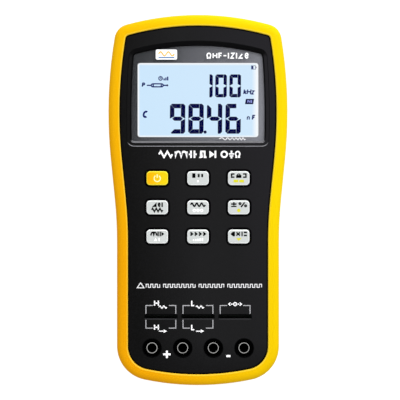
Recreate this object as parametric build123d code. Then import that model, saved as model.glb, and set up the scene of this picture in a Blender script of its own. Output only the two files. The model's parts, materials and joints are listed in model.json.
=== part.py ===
from build123d import *
import math
import os

# Handheld LCR meter, lying on its back: X across, Y along (display end at +Y), Z up through the
# display. The origin is the centre of the plane that it rests on. Millimetres.

# ---------------------------------------------------------------- driving dimensions
LENGTH = 184.0
THICKNESS = 41.0
HALF_WIDTH = 44.5            # widest, beside the display
HALF_GRIP = 40.25            # at the narrow grip end
WIDEST_Y = 43.5

TOP_R, SIDE_R, WAIST_R, END_R = 134.0, 230.0, 210.0, 130.0
TOP_CORNER, END_CORNER = 8.0, 17.0
GRIP_SLOPE = math.atan(0.1)  # between the bulge at the display and the waist

# boot: the elastic sleeve round both shells
BOOT_WALL = 2.6
BOOT_FRONT_LIP, BOOT_REAR_LIP = 5.5, 7.0
BOOT_FRONT_ROUND, BOOT_REAR_ROUND = 3.4, 4.6
LIP_THICK_FRONT, LIP_THICK_REAR = 2.0, 1.8
LIP_CORNER_FRONT, LIP_CORNER_REAR = 2.2, 2.5
LIP_EDGE_ROUND = 0.7
FLUTE_R, FLUTE_LOW_Z, FLUTE_HIGH_Z = 1.1, 10.0, 31.0   # grip flutes down both long sides
FLUTE_COUNT, FLUTE_PITCH, FLUTE_FIRST_Y, FLUTE_PROUD = 9, 4.4, -58.0, 0.35

# shells
FIT = 0.15                   # between the boot and the shells
SHELL = BOOT_WALL + FIT      # inset of the shells' outer wall
WALL = 2.2
PARTING_Z = 22.0
TONGUE_HIGH, GROOVE_DEEP = 1.4, 1.5
FACE_Z = 40.2                # front face
FACE_INSET, FACE_CORNER, FACE_ROUND = 5.9, 1.8, 0.5
LEDGE_Z = THICKNESS - LIP_THICK_FRONT - 0.1
INNER_FRONT_Z = FACE_Z - WALL
BACK_Z = 0.8                 # rear face, a little above the rest plane
BACK_INSET, BACK_CORNER = BOOT_REAR_LIP + 0.3, 2.2
REAR_RIM_Z = LIP_THICK_REAR + FIT
REAR_FLOOR_Z = 3.4
BITE = 0.2                   # how far one feature sinks into the next, so that they fuse

# display
LENS_BOTTOM_Y, LENS_TOP_Y = 28.9, 76.7
LENS_HALF_BOTTOM, LENS_HALF_MID, LENS_HALF_TOP = 33.0, 33.2, 32.0
LENS_MID_Y, LENS_SHOULDER_Y = 42.0, 72.4
LENS_TOP_Z, LENS_BACK_Z = 39.5, 37.85
LENS_SEAT_Z, LENS_FRAME_Z = 37.7, 36.3
LENS_GAP, LENS_EDGE, LENS_FRAME_WIDTH = 0.3, 0.3, 2.0
LENS_TOP_CORNER, LENS_FOOT_CORNER = 2.4, 1.4
SURROUND_WIDTH, SURROUND_STEP, SURROUND_FALL, SURROUND_LIP = 2.1, 0.25, 0.35, 0.2   # sloping frame
BORDER_LOW, BORDER_HIGH = 0.02, 0.1                              # printed border, above the seat
VIEW_X, VIEW_Y = 60.0, 36.8  # clear window in the printed border
VIEW_CENTRE = (0.0, 49.7)
VIEW_CORNER = 1.3
GLASS_X, GLASS_Y, GLASS_Z, GLASS_THICK = 66.0, 43.6, 33.0, 1.3
GLASS_LEDGE = 4.0            # how much longer the lower plate is, at its foot
BEZEL_WALL, BEZEL_FIT = 1.2, 0.2
GUIDE_LOW_Z, GUIDE_HIGH_Z = 30.2, 32.9
ZEBRA_X, ZEBRA_Y, ZEBRA_AT_X = 28.0, 2.0, 15.5

# board
BOARD_Z, BOARD_THICK = 27.6, 1.6
BOARD_TOP_Z = BOARD_Z + BOARD_THICK
BOARD_INSET = 6.2

# keys, three by three
KEY_X, KEY_Y, KEY_CORNER, KEY_ROUND = 10.6, 6.9, 1.8, 0.75
KEY_PITCH_X, KEY_PITCH_Y = 20.2, 14.45
KEY_ROW_1_Y = 10.8
KEY_TOP_Z, KEY_LOW_Z, KEY_TRAVEL, KEY_GAP = 41.1, 37.0, 1.2, 0.45
KEY_DISH_R, KEY_DISH = 60.0, 0.13                      # the shallow hollow in each key's top
KEY_FLANGE, KEY_FLANGE_LOW_Z = 1.1, 36.4
KEY_STEM_X, KEY_STEM_Y, KEY_STEM_LOW_Z = 8.6, 5.2, 31.0
PILL_X, PILL_Y, PILL_CORNER = 6.0, 3.6, 0.8
PILL_GAP = KEY_TRAVEL + 0.05                           # between the pill and the board
MAT_X, MAT_Y, MAT_THICK, MAT_TOP_Z = 58.0, 42.0, 1.0, 34.6
MAT_WALL_X, MAT_WALL_Y, MAT_BORE_X, MAT_BORE_Y = 12.4, 9.0, 9.6, 6.2
KEY_NAMES = [
    ["power", "remote", "hold"],
    ["loss_factor", "frequency", "tolerance"],
    ["function", "speed", "clear"],
]

# terminals
SLOT_X, SLOT_Y, SLOT_PITCH, SLOT_CENTRE_Y = 15.6, 1.7, 18.4, -57.9
SOCKET_PITCH, SOCKET_CENTRE_Y = 15.24, -73.5
SOCKET_BORE_R, SOCKET_TUBE_R, SOCKET_WELL_R, SOCKET_COLLAR_R = 2.0, 2.8, 4.65, 5.9
SOCKET_TOP_Z, SOCKET_LOW_Z, SOCKET_FLOOR = 38.0, 19.4, 1.2
SOCKET_MOUTH, SOCKET_EDGE = 0.4, 0.14                    # chamfers inside and outside its rim
SOCKET_FLANGE_R, SOCKET_FLANGE = 3.6, 0.8
COLLAR_FLOOR, COLLAR_FIT = 1.2, 0.1                      # the collar's ring round the tube's foot
SLOT_BLOCK_Y, SLOT_CAVITY_X, SLOT_CAVITY_Y, SLOT_ROOF = 9.0, 16.0, 6.0, 1.2
LEAF_X, LEAF_THICK = 14.0, 0.3
LEAF_BOW = [(2.6, 0.0), (2.6, 2.2), (0.45, 5.4), (1.5, 7.3)]   # out from the slot, up from the board

# rear: stand and battery bay
STAND_PIN = (45.0, 3.2)      # Y and Z of the hinge axis
STAND_HALF_X, STAND_END_Y, STAND_LOW_Z, STAND_HIGH_Z = 25.0, -10.0, 1.0, 4.2
STAND_PIN_R, STAND_KNUCKLE_R, STAND_PIN_REACH, STAND_PIN_FIT = 1.3, 1.7, 2.2, 0.08
STAND_POCKET_Z, STAND_GAP_SIDE, STAND_GAP_END, STAND_GAP_PIN = 5.0, 0.5, 1.0, 4.5
BAY_X, BAY_Y, BAY_CENTRE_Y = 56.6, 34.0, -42.5
BAY_WALL, BAY_ROOF_Z = 1.4, 19.4
CELL_R, CELL_LENGTH, CELL_NUB_R, CELL_NUB = 7.1, 49.3, 2.7, 1.0
CELL_DISH_R, CELL_DISH, CELL_AT_Y = 4.6, 0.3, 7.6
DOOR_X, DOOR_Y, DOOR_THICK, DOOR_GAP, DOOR_TAB_R = 60.6, 38.0, 1.8, 0.25, 5.0
CELL_Z = BACK_Z + DOOR_THICK + CELL_R + 0.7
DOOR_SCREW_YS = (BAY_CENTRE_Y + 21.7, BAY_CENTRE_Y - 21.7)
DOOR_SCREW_R, DOOR_HEAD_R, DOOR_HEAD = 1.22, 2.5, 1.2
SPRING_R, SPRING_WIRE_R, SPRING_TURNS, SPRING_SEAT = 3.4, 0.3, 2.4, 0.35
PLATE_THICK, PLATE_TAIL = 0.3, 2.6
TAIL_SLOT = (0.7, 3.2)       # clears each contact's tail through the bay's roof and the board

# fasteners
CASE_SCREWS = [(30.0, 77.0), (-30.0, 77.0), (29.5, -66.0), (-29.5, -66.0)]
BOARD_SCREWS = [(side * x, y) for x, y in ((33.5, 20.0), (32.0, -30.0), (15.24, -65.6)) for side in (1, -1)]
CASE_BOSS_R, CASE_PILOT_R, CASE_HEAD_R, CASE_HEAD = 3.2, 1.3, 2.6, 1.9
CASE_SEAT_Z, CASE_WELL_R, CASE_WELL_WALL_R, CASE_CLEAR_R = 14.0, 2.9, 4.2, 1.6
BOARD_BOSS_R, BOARD_PILOT_R, BOARD_HEAD_R, BOARD_HEAD = 2.4, 0.9, 2.0, 1.5
SCREW_TIP, SCREW_TIP_Z, SCREW_HEAD_ROUND = 0.6, 34.0, 0.45

# side and end connectors
JACK_Y, JACK_Z, JACK_R = 58.0, 22.0, 4.6
JACK_MOUTH_X, JACK_BODY_X, JACK_BODY_Y = 38.6, 13.0, 9.0
JACK_NOSE_R, JACK_NOSE, JACK_BORE_R, JACK_BORE, JACK_PIN_R = 4.3, 1.2, 2.75, 9.0, 1.05
PORT_X, PORT_Z, PORT_LOW_Z, PORT_FLANGE = 15.0, 6.0, 20.8, 0.8
DIODE_R, DIODE_X, DIODE_Z, DIODE_TIP_Y = 1.5, 3.6, 24.0, 83.8

LOW = (Align.CENTER, Align.CENTER, Align.MIN)


# ---------------------------------------------------------------- helpers
def towards(start, target, distance):
    """The point at that distance from start, on the ray through target."""
    dx, dy = target[0] - start[0], target[1] - start[1]
    reach = math.hypot(dx, dy)
    return (start[0] + dx / reach * distance, start[1] + dy / reach * distance)


def crossing(a, a_r, b, b_r):
    """Where two circles cross, on the side of greater Y."""
    dx, dy = b[0] - a[0], b[1] - a[1]
    gap = math.hypot(dx, dy)
    along = (a_r**2 - b_r**2 + gap**2) / (2 * gap)
    off = math.sqrt(a_r**2 - along**2)
    found = [
        (a[0] + (along * dx - side * off * dy) / gap, a[1] + (along * dy + side * off * dx) / gap)
        for side in (1, -1)
    ]
    return max(found, key=lambda p: p[1])


def circle_through(a, b, c):
    """Centre and radius of the circle through three points."""
    bx, by, cx, cy = b[0] - a[0], b[1] - a[1], c[0] - a[0], c[1] - a[1]
    twice = 2 * (bx * cy - by * cx)
    b_sq, c_sq = bx * bx + by * by, cx * cx + cy * cy
    centre = (a[0] + (cy * b_sq - by * c_sq) / twice, a[1] + (bx * c_sq - cx * b_sq) / twice)
    return centre, math.dist(centre, a)


def arc(centre, start, end):
    """The shorter arc about centre from start to end."""
    radius = math.dist(centre, start)
    between = ((start[0] + end[0]) / 2, (start[1] + end[1]) / 2)
    return ThreePointArc(start, towards(centre, between, radius), end)


def flipped(point):
    return (-point[0], point[1])


def outline(inset, top_corner=None, end_corner=None):
    """The plan outline moved inwards by inset: arcs at both ends, a bulge at the display, a waist."""
    top_corner = TOP_CORNER - inset if top_corner is None else top_corner
    end_corner = END_CORNER - inset if end_corner is None else end_corner
    top_r, side_r, waist_r, end_r = TOP_R - inset, SIDE_R - inset, WAIST_R + inset, END_R - inset
    grip_x = HALF_GRIP - inset
    cos_a, sin_a = math.cos(GRIP_SLOPE), math.sin(GRIP_SLOPE)

    top_c = (0.0, LENGTH / 2 - TOP_R)
    side_c = (HALF_WIDTH - SIDE_R, WIDEST_Y)
    end_c = (0.0, END_R - LENGTH / 2)
    bulge_end = (side_c[0] + SIDE_R * cos_a, side_c[1] - SIDE_R * sin_a)
    waist_x = HALF_GRIP + WAIST_R * (1 - cos_a)
    waist_y = bulge_end[1] - (bulge_end[0] - waist_x) / math.tan(GRIP_SLOPE) - WAIST_R * sin_a
    waist_c = (HALF_GRIP + WAIST_R, waist_y)

    top_k = crossing(top_c, top_r - top_corner, side_c, side_r - top_corner)
    end_x = grip_x - end_corner
    end_k = (end_x, end_c[1] - math.sqrt((end_r - end_corner) ** 2 - end_x**2))

    top_out = towards(top_c, top_k, top_r)
    corner_in = towards(side_c, top_k, side_r)
    slope_in = (side_c[0] + side_r * cos_a, side_c[1] - side_r * sin_a)
    slope_out = (waist_c[0] - waist_r * cos_a, waist_c[1] + waist_r * sin_a)
    grip_in, grip_out = (grip_x, waist_y), (grip_x, end_k[1])
    end_in = towards(end_c, end_k, end_r)

    right = [
        arc(top_k, top_out, corner_in),
        arc(side_c, corner_in, slope_in),
        Line(slope_in, slope_out),
        arc(waist_c, slope_out, grip_in),
        Line(grip_in, grip_out),
        arc(end_k, grip_out, end_in),
    ]
    ends = [arc(top_c, flipped(top_out), top_out), arc(end_c, end_in, flipped(end_in))]
    left = [mirror(edge, about=Plane.YZ) for edge in right]
    return make_face([*right, *ends, *left])


def slab(sketch, low, high):
    """sketch, drawn at Z 0, standing from low to high."""
    return extrude(Pos(0, 0, low) * sketch, amount=high - low)


def block(x_size, y_size, low, high, at=(0.0, 0.0), corner=0.0):
    sketch = RectangleRounded(x_size, y_size, corner) if corner else Rectangle(x_size, y_size)
    return slab(Pos(*at) * sketch, low, high)


def disc(radius, low, high, at=(0.0, 0.0)):
    return Pos(at[0], at[1], low) * Cylinder(radius, high - low, align=LOW)


def tube(outer, inner, low, high, at=(0.0, 0.0)):
    return disc(outer, low, high, at) - disc(inner, low, high, at)


def rod_x(radius, x_low, x_high, y, z):
    """A round bar along X."""
    return Pos(x_low, y, z) * Rot(0, 90, 0) * Cylinder(radius, x_high - x_low, align=LOW)


def rod_y(radius, y_low, y_high, x, z):
    """A round bar along Y."""
    return Pos(x, y_high, z) * Rot(90, 0, 0) * Cylinder(radius, y_high - y_low, align=LOW)


def edges_at(solid, z, within=None, beyond=None):
    """Edges that lie at height z, with their middles within one sketch and beyond another."""
    found = []
    for edge in solid.edges():
        box = edge.bounding_box()
        if abs(box.min.Z - z) > 1e-3 or abs(box.max.Z - z) > 1e-3:
            continue
        middle = edge.position_at(0.5)
        flat = Vector(middle.X, middle.Y, 0)
        if within is not None and not within.face().is_inside(flat, 1e-6):
            continue
        if beyond is not None and beyond.face().is_inside(flat, 1e-6):
            continue
        found.append(edge)
    return found


def joined(shapes):
    """One shape of all of these, fused."""
    first, *rest = shapes
    return first + rest if rest else first


def cross_recess(size, depth, low, at):
    """The cutter for a cross-head drive, sinking up from low."""
    arm = size * 0.28
    return block(size, arm, low, low + depth, at) + block(arm, size, low, low + depth, at)


def screw(at, head_low, head_r, head, shank_r, tip_z):
    """A pan-head screw driven upwards, with a cross recess in the head's underside."""
    body = fillet(edges_at(disc(head_r, head_low, head_low + head, at), head_low), SCREW_HEAD_ROUND)
    body += disc(shank_r, head_low + head, tip_z - SCREW_TIP, at)
    body += Pos(at[0], at[1], tip_z - SCREW_TIP) * Cone(shank_r, shank_r * 0.4, SCREW_TIP, align=LOW)
    return body - cross_recess(head_r * 1.2, head * 0.6, head_low, at)


# ---------------------------------------------------------------- shared places
def key_places():
    """(name, x, y) of each key, from the top left."""
    return [
        (name, (column - 1) * KEY_PITCH_X, KEY_ROW_1_Y - row * KEY_PITCH_Y)
        for row, names in enumerate(KEY_NAMES)
        for column, name in enumerate(names)
    ]


def slot_places():
    return [((column - 1) * SLOT_PITCH, SLOT_CENTRE_Y) for column in range(3)]


def socket_places():
    return [(SOCKET_PITCH * (number - 1.5), SOCKET_CENTRE_Y) for number in range(4)]


def lens_sketch(grow=0.0):
    """The display window's outline: flat foot, bulging sides, arched top."""
    foot = (LENS_HALF_BOTTOM, LENS_BOTTOM_Y)
    shoulder = (LENS_HALF_TOP, LENS_SHOULDER_Y)
    side_c, side_r = circle_through(foot, (LENS_HALF_MID, LENS_MID_Y), shoulder)
    arch_c, arch_r = circle_through(flipped(shoulder), (0.0, LENS_TOP_Y), shoulder)
    foot_y = LENS_BOTTOM_Y - grow
    foot = (side_c[0] + math.sqrt((side_r + grow) ** 2 - (foot_y - side_c[1]) ** 2), foot_y)
    shoulder = crossing(side_c, side_r + grow, arch_c, arch_r + grow)
    right, top = arc(side_c, foot, shoulder), arc(arch_c, shoulder, flipped(shoulder))
    face = make_face([Line(flipped(foot), foot), right, top, mirror(right, about=Plane.YZ)])
    face = fillet(face.vertices().group_by(Axis.Y)[-1], LENS_TOP_CORNER + grow)
    return fillet(face.vertices().group_by(Axis.Y)[0], LENS_FOOT_CORNER + grow)


# ---------------------------------------------------------------- boot and shells
def jack_hole(radius):
    return rod_x(radius, HALF_GRIP - 6, HALF_WIDTH + 2, JACK_Y, JACK_Z)


def port_hole(grow):
    size = (PORT_X + 2 * grow, 14.0, PORT_Z + 2 * grow)
    return Pos(0, LENGTH / 2 - 4, PORT_LOW_Z + PORT_Z / 2) * Box(*size)


def make_boot():
    body = slab(outline(0), 0, THICKNESS)
    body = fillet(edges_at(body, THICKNESS), BOOT_FRONT_ROUND)
    body = fillet(edges_at(body, 0), BOOT_REAR_ROUND)
    body -= slab(outline(BOOT_WALL), LIP_THICK_REAR, THICKNESS - LIP_THICK_FRONT)
    front_mouth = outline(BOOT_FRONT_LIP, top_corner=LIP_CORNER_FRONT)
    body -= slab(front_mouth, THICKNESS - LIP_THICK_FRONT - 1, THICKNESS + 1)
    body -= slab(outline(BOOT_REAR_LIP, top_corner=LIP_CORNER_REAR), -1, LIP_THICK_REAR + 1)
    body = fillet(edges_at(body, THICKNESS, within=outline(BOOT_FRONT_LIP - 1)), LIP_EDGE_ROUND)
    body -= jack_hole(JACK_R + 0.9)
    port = port_hole(1.2)
    body -= fillet(port.edges().filter_by(Axis.Y), 1.5)
    return body - grip_grooves()


def grip_grooves():
    """Short flutes down both long sides, where the fingers hold."""
    cutters = []
    for side in (-1, 1):
        for step in range(FLUTE_COUNT):
            x, y = side * (HALF_GRIP + FLUTE_PROUD), FLUTE_FIRST_Y + FLUTE_PITCH * step
            cutters.append(disc(FLUTE_R, FLUTE_LOW_Z, FLUTE_HIGH_Z, (x, y)))
            cutters += [Pos(x, y, z) * Sphere(FLUTE_R) for z in (FLUTE_LOW_Z, FLUTE_HIGH_Z)]
    return joined(cutters)


def window_surround(body):
    """The front case with the window's recess: a short step, a slope, and a small lip at the window."""
    step_z = FACE_Z - SURROUND_STEP
    body -= slab(lens_sketch(SURROUND_WIDTH), step_z, FACE_Z + 1)
    rim = edges_at(body, FACE_Z, within=lens_sketch(SURROUND_WIDTH + 0.5))
    body = chamfer(rim, SURROUND_STEP - 0.02)

    body -= slab(lens_sketch(LENS_GAP), LENS_SEAT_Z, FACE_Z + 1)
    near = lens_sketch(LENS_GAP + 0.5)
    shelf = body.faces().filter_by(Plane.XY).filter_by(lambda face: abs(face.center().Z - step_z) < 1e-3)[0]
    slope = SURROUND_WIDTH - LENS_GAP - 0.05
    body = chamfer(edges_at(body, step_z, within=near), slope, SURROUND_FALL, reference=shelf)
    return chamfer(edges_at(body, step_z - SURROUND_FALL, within=near), SURROUND_LIP)


def front_openings():
    """Cutters through the front wall for the keys, the slots and the socket wells."""
    low, high = INNER_FRONT_Z - 1, FACE_Z + 1
    key = (KEY_X + 2 * KEY_GAP, KEY_Y + 2 * KEY_GAP)
    cutters = [block(*key, low, high, (x, y), KEY_CORNER + KEY_GAP) for _, x, y in key_places()]
    cutters += [block(SLOT_X, SLOT_Y, low, high, place, 0.4) for place in slot_places()]
    return joined(cutters + [disc(SOCKET_WELL_R, low, high, place) for place in socket_places()])


def make_front_case():
    body = slab(outline(SHELL), PARTING_Z, LEDGE_Z)
    raised = slab(outline(FACE_INSET, top_corner=FACE_CORNER), LEDGE_Z - 0.5, FACE_Z)
    body += fillet(edges_at(raised, FACE_Z), FACE_ROUND)
    body -= slab(outline(SHELL + WALL), PARTING_Z - 1, INNER_FRONT_Z - 1.6)
    body -= slab(outline(SHELL + WALL + 2, top_corner=1.5), PARTING_Z - 1, INNER_FRONT_Z)
    body -= slab(outline(SHELL + WALL / 2), PARTING_Z - 1, PARTING_Z + GROOVE_DEEP)

    body += slab(lens_sketch(LENS_FRAME_WIDTH), LENS_FRAME_Z, INNER_FRONT_Z + BITE / 2)
    body = window_surround(body)
    body -= block(VIEW_X + 2, VIEW_Y + 2, LENS_FRAME_Z - 1, LENS_SEAT_Z + 1, VIEW_CENTRE, 1.0)

    for at in CASE_SCREWS:
        body += disc(CASE_BOSS_R, PARTING_Z + 3.1, INNER_FRONT_Z + BITE / 2, at)
        body -= disc(CASE_PILOT_R, PARTING_Z + 3.1, INNER_FRONT_Z - 1, at)
    for at in BOARD_SCREWS:
        body += disc(BOARD_BOSS_R, BOARD_TOP_Z, INNER_FRONT_Z + BITE / 2, at)
        body -= disc(BOARD_PILOT_R, BOARD_TOP_Z, INNER_FRONT_Z - 2, at)

    body -= front_openings()
    keys = Pos(0, KEY_ROW_1_Y - KEY_PITCH_Y) * Rectangle(60, 46)
    slots = Pos(0, SLOT_CENTRE_Y) * Rectangle(60, 6)
    wells = Pos(0, SOCKET_CENTRE_Y) * Rectangle(60, 12)
    body = fillet(edges_at(body, FACE_Z, within=keys), 0.35)
    body = chamfer(edges_at(body, FACE_Z, within=slots), 0.55)
    body = fillet(edges_at(body, FACE_Z, within=wells), 0.45)
    body -= jack_hole(JACK_R)
    return body - port_hole(0.1)


def make_rear_case():
    body = slab(outline(SHELL), REAR_RIM_Z, PARTING_Z)
    body = fillet(edges_at(body, REAR_RIM_Z), 1.0)
    body += slab(outline(BACK_INSET, top_corner=BACK_CORNER), BACK_Z, REAR_RIM_Z + 0.5)
    body -= slab(outline(SHELL + WALL), REAR_FLOOR_Z, PARTING_Z + 1)
    tongue = outline(SHELL + WALL / 2 + 0.1) - outline(SHELL + WALL)
    body += slab(tongue, PARTING_Z - BITE, PARTING_Z + TONGUE_HIGH)
    body = with_stand_pocket(body)
    body = with_battery_bay(body)
    for at in CASE_SCREWS:
        body += disc(CASE_WELL_WALL_R, REAR_FLOOR_Z - BITE, CASE_SEAT_Z + 1.6, at)
        body += disc(CASE_BOSS_R, CASE_SEAT_Z + 1.6, PARTING_Z + 3.0, at)
        body -= disc(CASE_WELL_R, BACK_Z - 1, CASE_SEAT_Z, at)
        body -= disc(CASE_CLEAR_R, CASE_SEAT_Z, PARTING_Z + 4.0, at)
    body -= jack_hole(JACK_R)
    return body - port_hole(0.1)


def with_stand_pocket(body):
    """The rear case with the stand's pocket, its two pin holes and a notch for the thumb."""
    y_low, y_high = STAND_END_Y - STAND_GAP_END, STAND_PIN[0] + STAND_GAP_PIN
    middle = (0, (y_low + y_high) / 2)
    x_size, y_size = 2 * (STAND_HALF_X + STAND_GAP_SIDE), y_high - y_low
    body += block(x_size + 6.4, y_size + 3.2, REAR_FLOOR_Z - BITE, STAND_POCKET_Z + 1.6, middle, 3)
    body -= block(x_size, y_size, BACK_Z - 1, STAND_POCKET_Z, middle, 2)
    inner, outer = STAND_HALF_X + BITE, STAND_HALF_X + STAND_PIN_REACH + 0.2
    for low, high in ((inner, outer), (-outer, -inner)):
        body -= rod_x(STAND_PIN_R + STAND_PIN_FIT, low, high, *STAND_PIN)
    return body - block(16, 5.0, BACK_Z - 1, REAR_FLOOR_Z, (0, STAND_END_Y - 2.0), 2)


def with_battery_bay(body):
    """The rear case with the cells' bay, the door's recess and its two screw posts."""
    bay = (0, BAY_CENTRE_Y)
    roof = BAY_ROOF_Z + BAY_WALL
    body += block(BAY_X + 2 * BAY_WALL, BAY_Y + 2 * BAY_WALL, REAR_FLOOR_Z - BITE, roof, bay, 2)
    body -= block(BAY_X, BAY_Y, BACK_Z - 1, BAY_ROOF_Z, bay, 1)
    for y in DOOR_SCREW_YS:
        body += disc(3.4, REAR_FLOOR_Z - BITE, 12.0, (0, y))
    body -= slab(door_sketch(DOOR_GAP), BACK_Z - 1, BACK_Z + DOOR_THICK + 0.1)
    for y in DOOR_SCREW_YS:
        body -= disc(1.3, BACK_Z, 10.5, (0, y))
    for x, y, _ in contact_places():
        body -= block(*TAIL_SLOT, BAY_ROOF_Z - 1, roof + 1, (x, y))
    return body


# ---------------------------------------------------------------- display
def make_display_window():
    lens = slab(lens_sketch(), LENS_BACK_Z, LENS_TOP_Z)
    return chamfer(edges_at(lens, LENS_TOP_Z), LENS_EDGE)


def make_window_border():
    clear = Pos(*VIEW_CENTRE) * RectangleRounded(VIEW_X, VIEW_Y, VIEW_CORNER)
    return slab(lens_sketch(-0.1) - clear, LENS_SEAT_Z + BORDER_LOW, LENS_SEAT_Z + BORDER_HIGH)


def make_lcd_glass():
    """Two glass plates, the lower one longer at the foot for its contact ledge."""
    middle_z = GLASS_Z + GLASS_THICK
    upper_at = (0, VIEW_CENTRE[1] + GLASS_LEDGE / 2)
    upper = block(GLASS_X, GLASS_Y - GLASS_LEDGE, middle_z, middle_z + GLASS_THICK, upper_at)
    return upper + block(GLASS_X, GLASS_Y, GLASS_Z, middle_z, VIEW_CENTRE)


def make_lcd_bezel():
    """The snap-on frame that holds the glass and the light guide to the board."""
    x, y = GLASS_X + 2 * BEZEL_FIT, GLASS_Y + 2 * BEZEL_FIT
    roof_z = GLASS_Z + 2 * GLASS_THICK + 0.05
    frame = block(x + 2 * BEZEL_WALL, y + 2 * BEZEL_WALL, BOARD_TOP_Z, LENS_FRAME_Z - 0.05, VIEW_CENTRE, 1.0)
    frame -= block(x, y, BOARD_TOP_Z - 1, roof_z, VIEW_CENTRE)
    window = block(VIEW_X + 3, VIEW_Y + 1.8, roof_z - 1, LENS_FRAME_Z + 1, (0, VIEW_CENTRE[1] + 0.4))
    return frame - window


def make_backlight():
    """Light guide, with its lamp bar at one short side."""
    y = VIEW_CENTRE[1] + GLASS_LEDGE / 2
    guide = block(GLASS_X - 6, GLASS_Y - 8, GUIDE_LOW_Z, GUIDE_HIGH_Z, (1.0, y))
    lamps = block(3.0, GLASS_Y - 12, BOARD_TOP_Z, GUIDE_HIGH_Z - 0.5, (-GLASS_X / 2 + 2.4, y))
    return guide + lamps


def make_zebra_strips():
    """Elastomer strips that carry the segments' signals from the board up to the glass."""
    y = VIEW_CENTRE[1] - GLASS_Y / 2 + 1.6
    return [block(ZEBRA_X, ZEBRA_Y, BOARD_TOP_Z, GLASS_Z, (x, y)) for x in (-ZEBRA_AT_X, ZEBRA_AT_X)]


# ---------------------------------------------------------------- keypad
def make_key(x, y):
    """A hard cap with a soft-edged top, a flange that keeps it in, and a stem down to the pill."""
    cap = block(KEY_X, KEY_Y, KEY_LOW_Z, KEY_TOP_Z, (x, y), KEY_CORNER)
    cap = fillet(edges_at(cap, KEY_TOP_Z), KEY_ROUND)
    half = KEY_X / 2 + 2
    cap -= rod_x(KEY_DISH_R, x - half, x + half, y, KEY_TOP_Z + KEY_DISH_R - KEY_DISH)
    wide = (KEY_X + 2 * KEY_FLANGE, KEY_Y + 2 * KEY_FLANGE)
    flange = block(*wide, KEY_FLANGE_LOW_Z, INNER_FRONT_Z - 0.05, (x, y), KEY_CORNER)
    stem = block(KEY_STEM_X, KEY_STEM_Y, KEY_STEM_LOW_Z, KEY_FLANGE_LOW_Z, (x, y), 1.0)
    return cap + flange + stem


def make_key_pill(x, y):
    """The carbon pill that bridges the board's pads."""
    return block(PILL_X, PILL_Y, BOARD_TOP_Z + PILL_GAP, KEY_STEM_LOW_Z, (x, y), PILL_CORNER)


def make_keypad_mat():
    """A silicone sheet with a hollow, soft-walled mount under each key."""
    low = BOARD_TOP_Z
    mat = block(MAT_X, MAT_Y, low, low + MAT_THICK, (0, KEY_ROW_1_Y - KEY_PITCH_Y), 2)
    for _, x, y in key_places():
        wall = block(MAT_WALL_X, MAT_WALL_Y, low, MAT_TOP_Z, (x, y), 1.8)
        mat += chamfer(edges_at(wall, MAT_TOP_Z), 0.9, 1.6)
        mat -= block(MAT_BORE_X, MAT_BORE_Y, low - 1, MAT_TOP_Z + 1, (x, y), 1.2)
    return mat


# ---------------------------------------------------------------- board
def make_main_board():
    board = slab(outline(BOARD_INSET, top_corner=2.0), BOARD_Z, BOARD_TOP_Z)
    low, high = BOARD_Z - 1, BOARD_TOP_Z + 1
    holes = [disc(CASE_BOSS_R + 0.5, low, high, place) for place in CASE_SCREWS]
    holes += [disc(BOARD_PILOT_R + 0.2, low, high, place) for place in BOARD_SCREWS]
    holes += [disc(SOCKET_TUBE_R + 0.05, low, high, place) for place in socket_places()]
    holes += [block(*TAIL_SLOT, low, high, (x, y)) for x, y, _ in contact_places()]
    return board - holes


def under_board(x_size, y_size, drop, at):
    """A part soldered to the board's underside."""
    return block(x_size, y_size, BOARD_Z - drop, BOARD_Z, at)


def make_board_chips():
    sizes = [(14, 14, 1.7, (-6, 30)), (10, 10, 1.6, (14, 30)), (8, 5, 1.5, (-20, 14)), (8, 5, 1.5, (-8, 14))]
    sizes += [(8, 5, 1.5, (20, 10)), (5, 4, 1.5, (-24, 40)), (5, 4, 1.5, (6, 62))]
    return [under_board(*size) for size in sizes]


def make_range_relays():
    """Signal relays that switch the measuring ranges."""
    return [under_board(7.2, 10.6, 5.2, (x, -14.0)) for x in (-26, -16, 16, 26)]


def make_shield_can():
    """Tinned cover over the measuring front end."""
    x, y, drop, sheet, at = 46.0, 16.0, 4.6, 0.4, (0, -43)
    can = block(x, y, BOARD_Z - drop, BOARD_Z, at, 0.6)
    return can - block(x - 2 * sheet, y - 2 * sheet, BOARD_Z - drop + sheet, BOARD_Z + 1, at, 0.4)


def make_board_capacitors():
    places, low = [(-30, 2), (30, -2), (26, 34), (18, 44)], BOARD_Z - 6.5
    return [fillet(edges_at(disc(3.1, low, BOARD_Z, at), low), 0.5) for at in places]


def make_quartz_crystal():
    return block(10.6, 4.4, BOARD_Z - 3.4, BOARD_Z, (-8, 43), 2.1)


def make_power_inductor():
    at = (-28, 26)
    body = block(8, 8, BOARD_Z - 4.2, BOARD_Z, at, 1.5)
    return body - tube(3.6, 3.1, BOARD_Z - 5, BOARD_Z - 3.7, at)


def make_buzzer():
    at, low = (-22, 62), BOARD_Z - 5
    body = fillet(edges_at(disc(6.0, low, BOARD_Z, at), low), 0.6)
    return body - disc(1.0, low - 1, low + 1, at)


# ---------------------------------------------------------------- terminals
def make_test_socket(x, y):
    """A metal tube for a 4 mm plug, flanged where it is soldered to the board."""
    body = disc(SOCKET_TUBE_R, SOCKET_LOW_Z, SOCKET_TOP_Z, (x, y))
    body += disc(SOCKET_FLANGE_R, BOARD_Z - SOCKET_FLANGE, BOARD_Z, (x, y))
    body -= disc(SOCKET_BORE_R, SOCKET_LOW_Z + SOCKET_FLOOR, SOCKET_TOP_Z + 1, (x, y))
    for radius, size in ((SOCKET_BORE_R, SOCKET_MOUTH), (SOCKET_TUBE_R, SOCKET_EDGE)):
        rim = [edge for edge in edges_at(body, SOCKET_TOP_Z) if abs(edge.radius - radius) < 1e-3]
        body = chamfer(rim, size)
    return body


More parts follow.
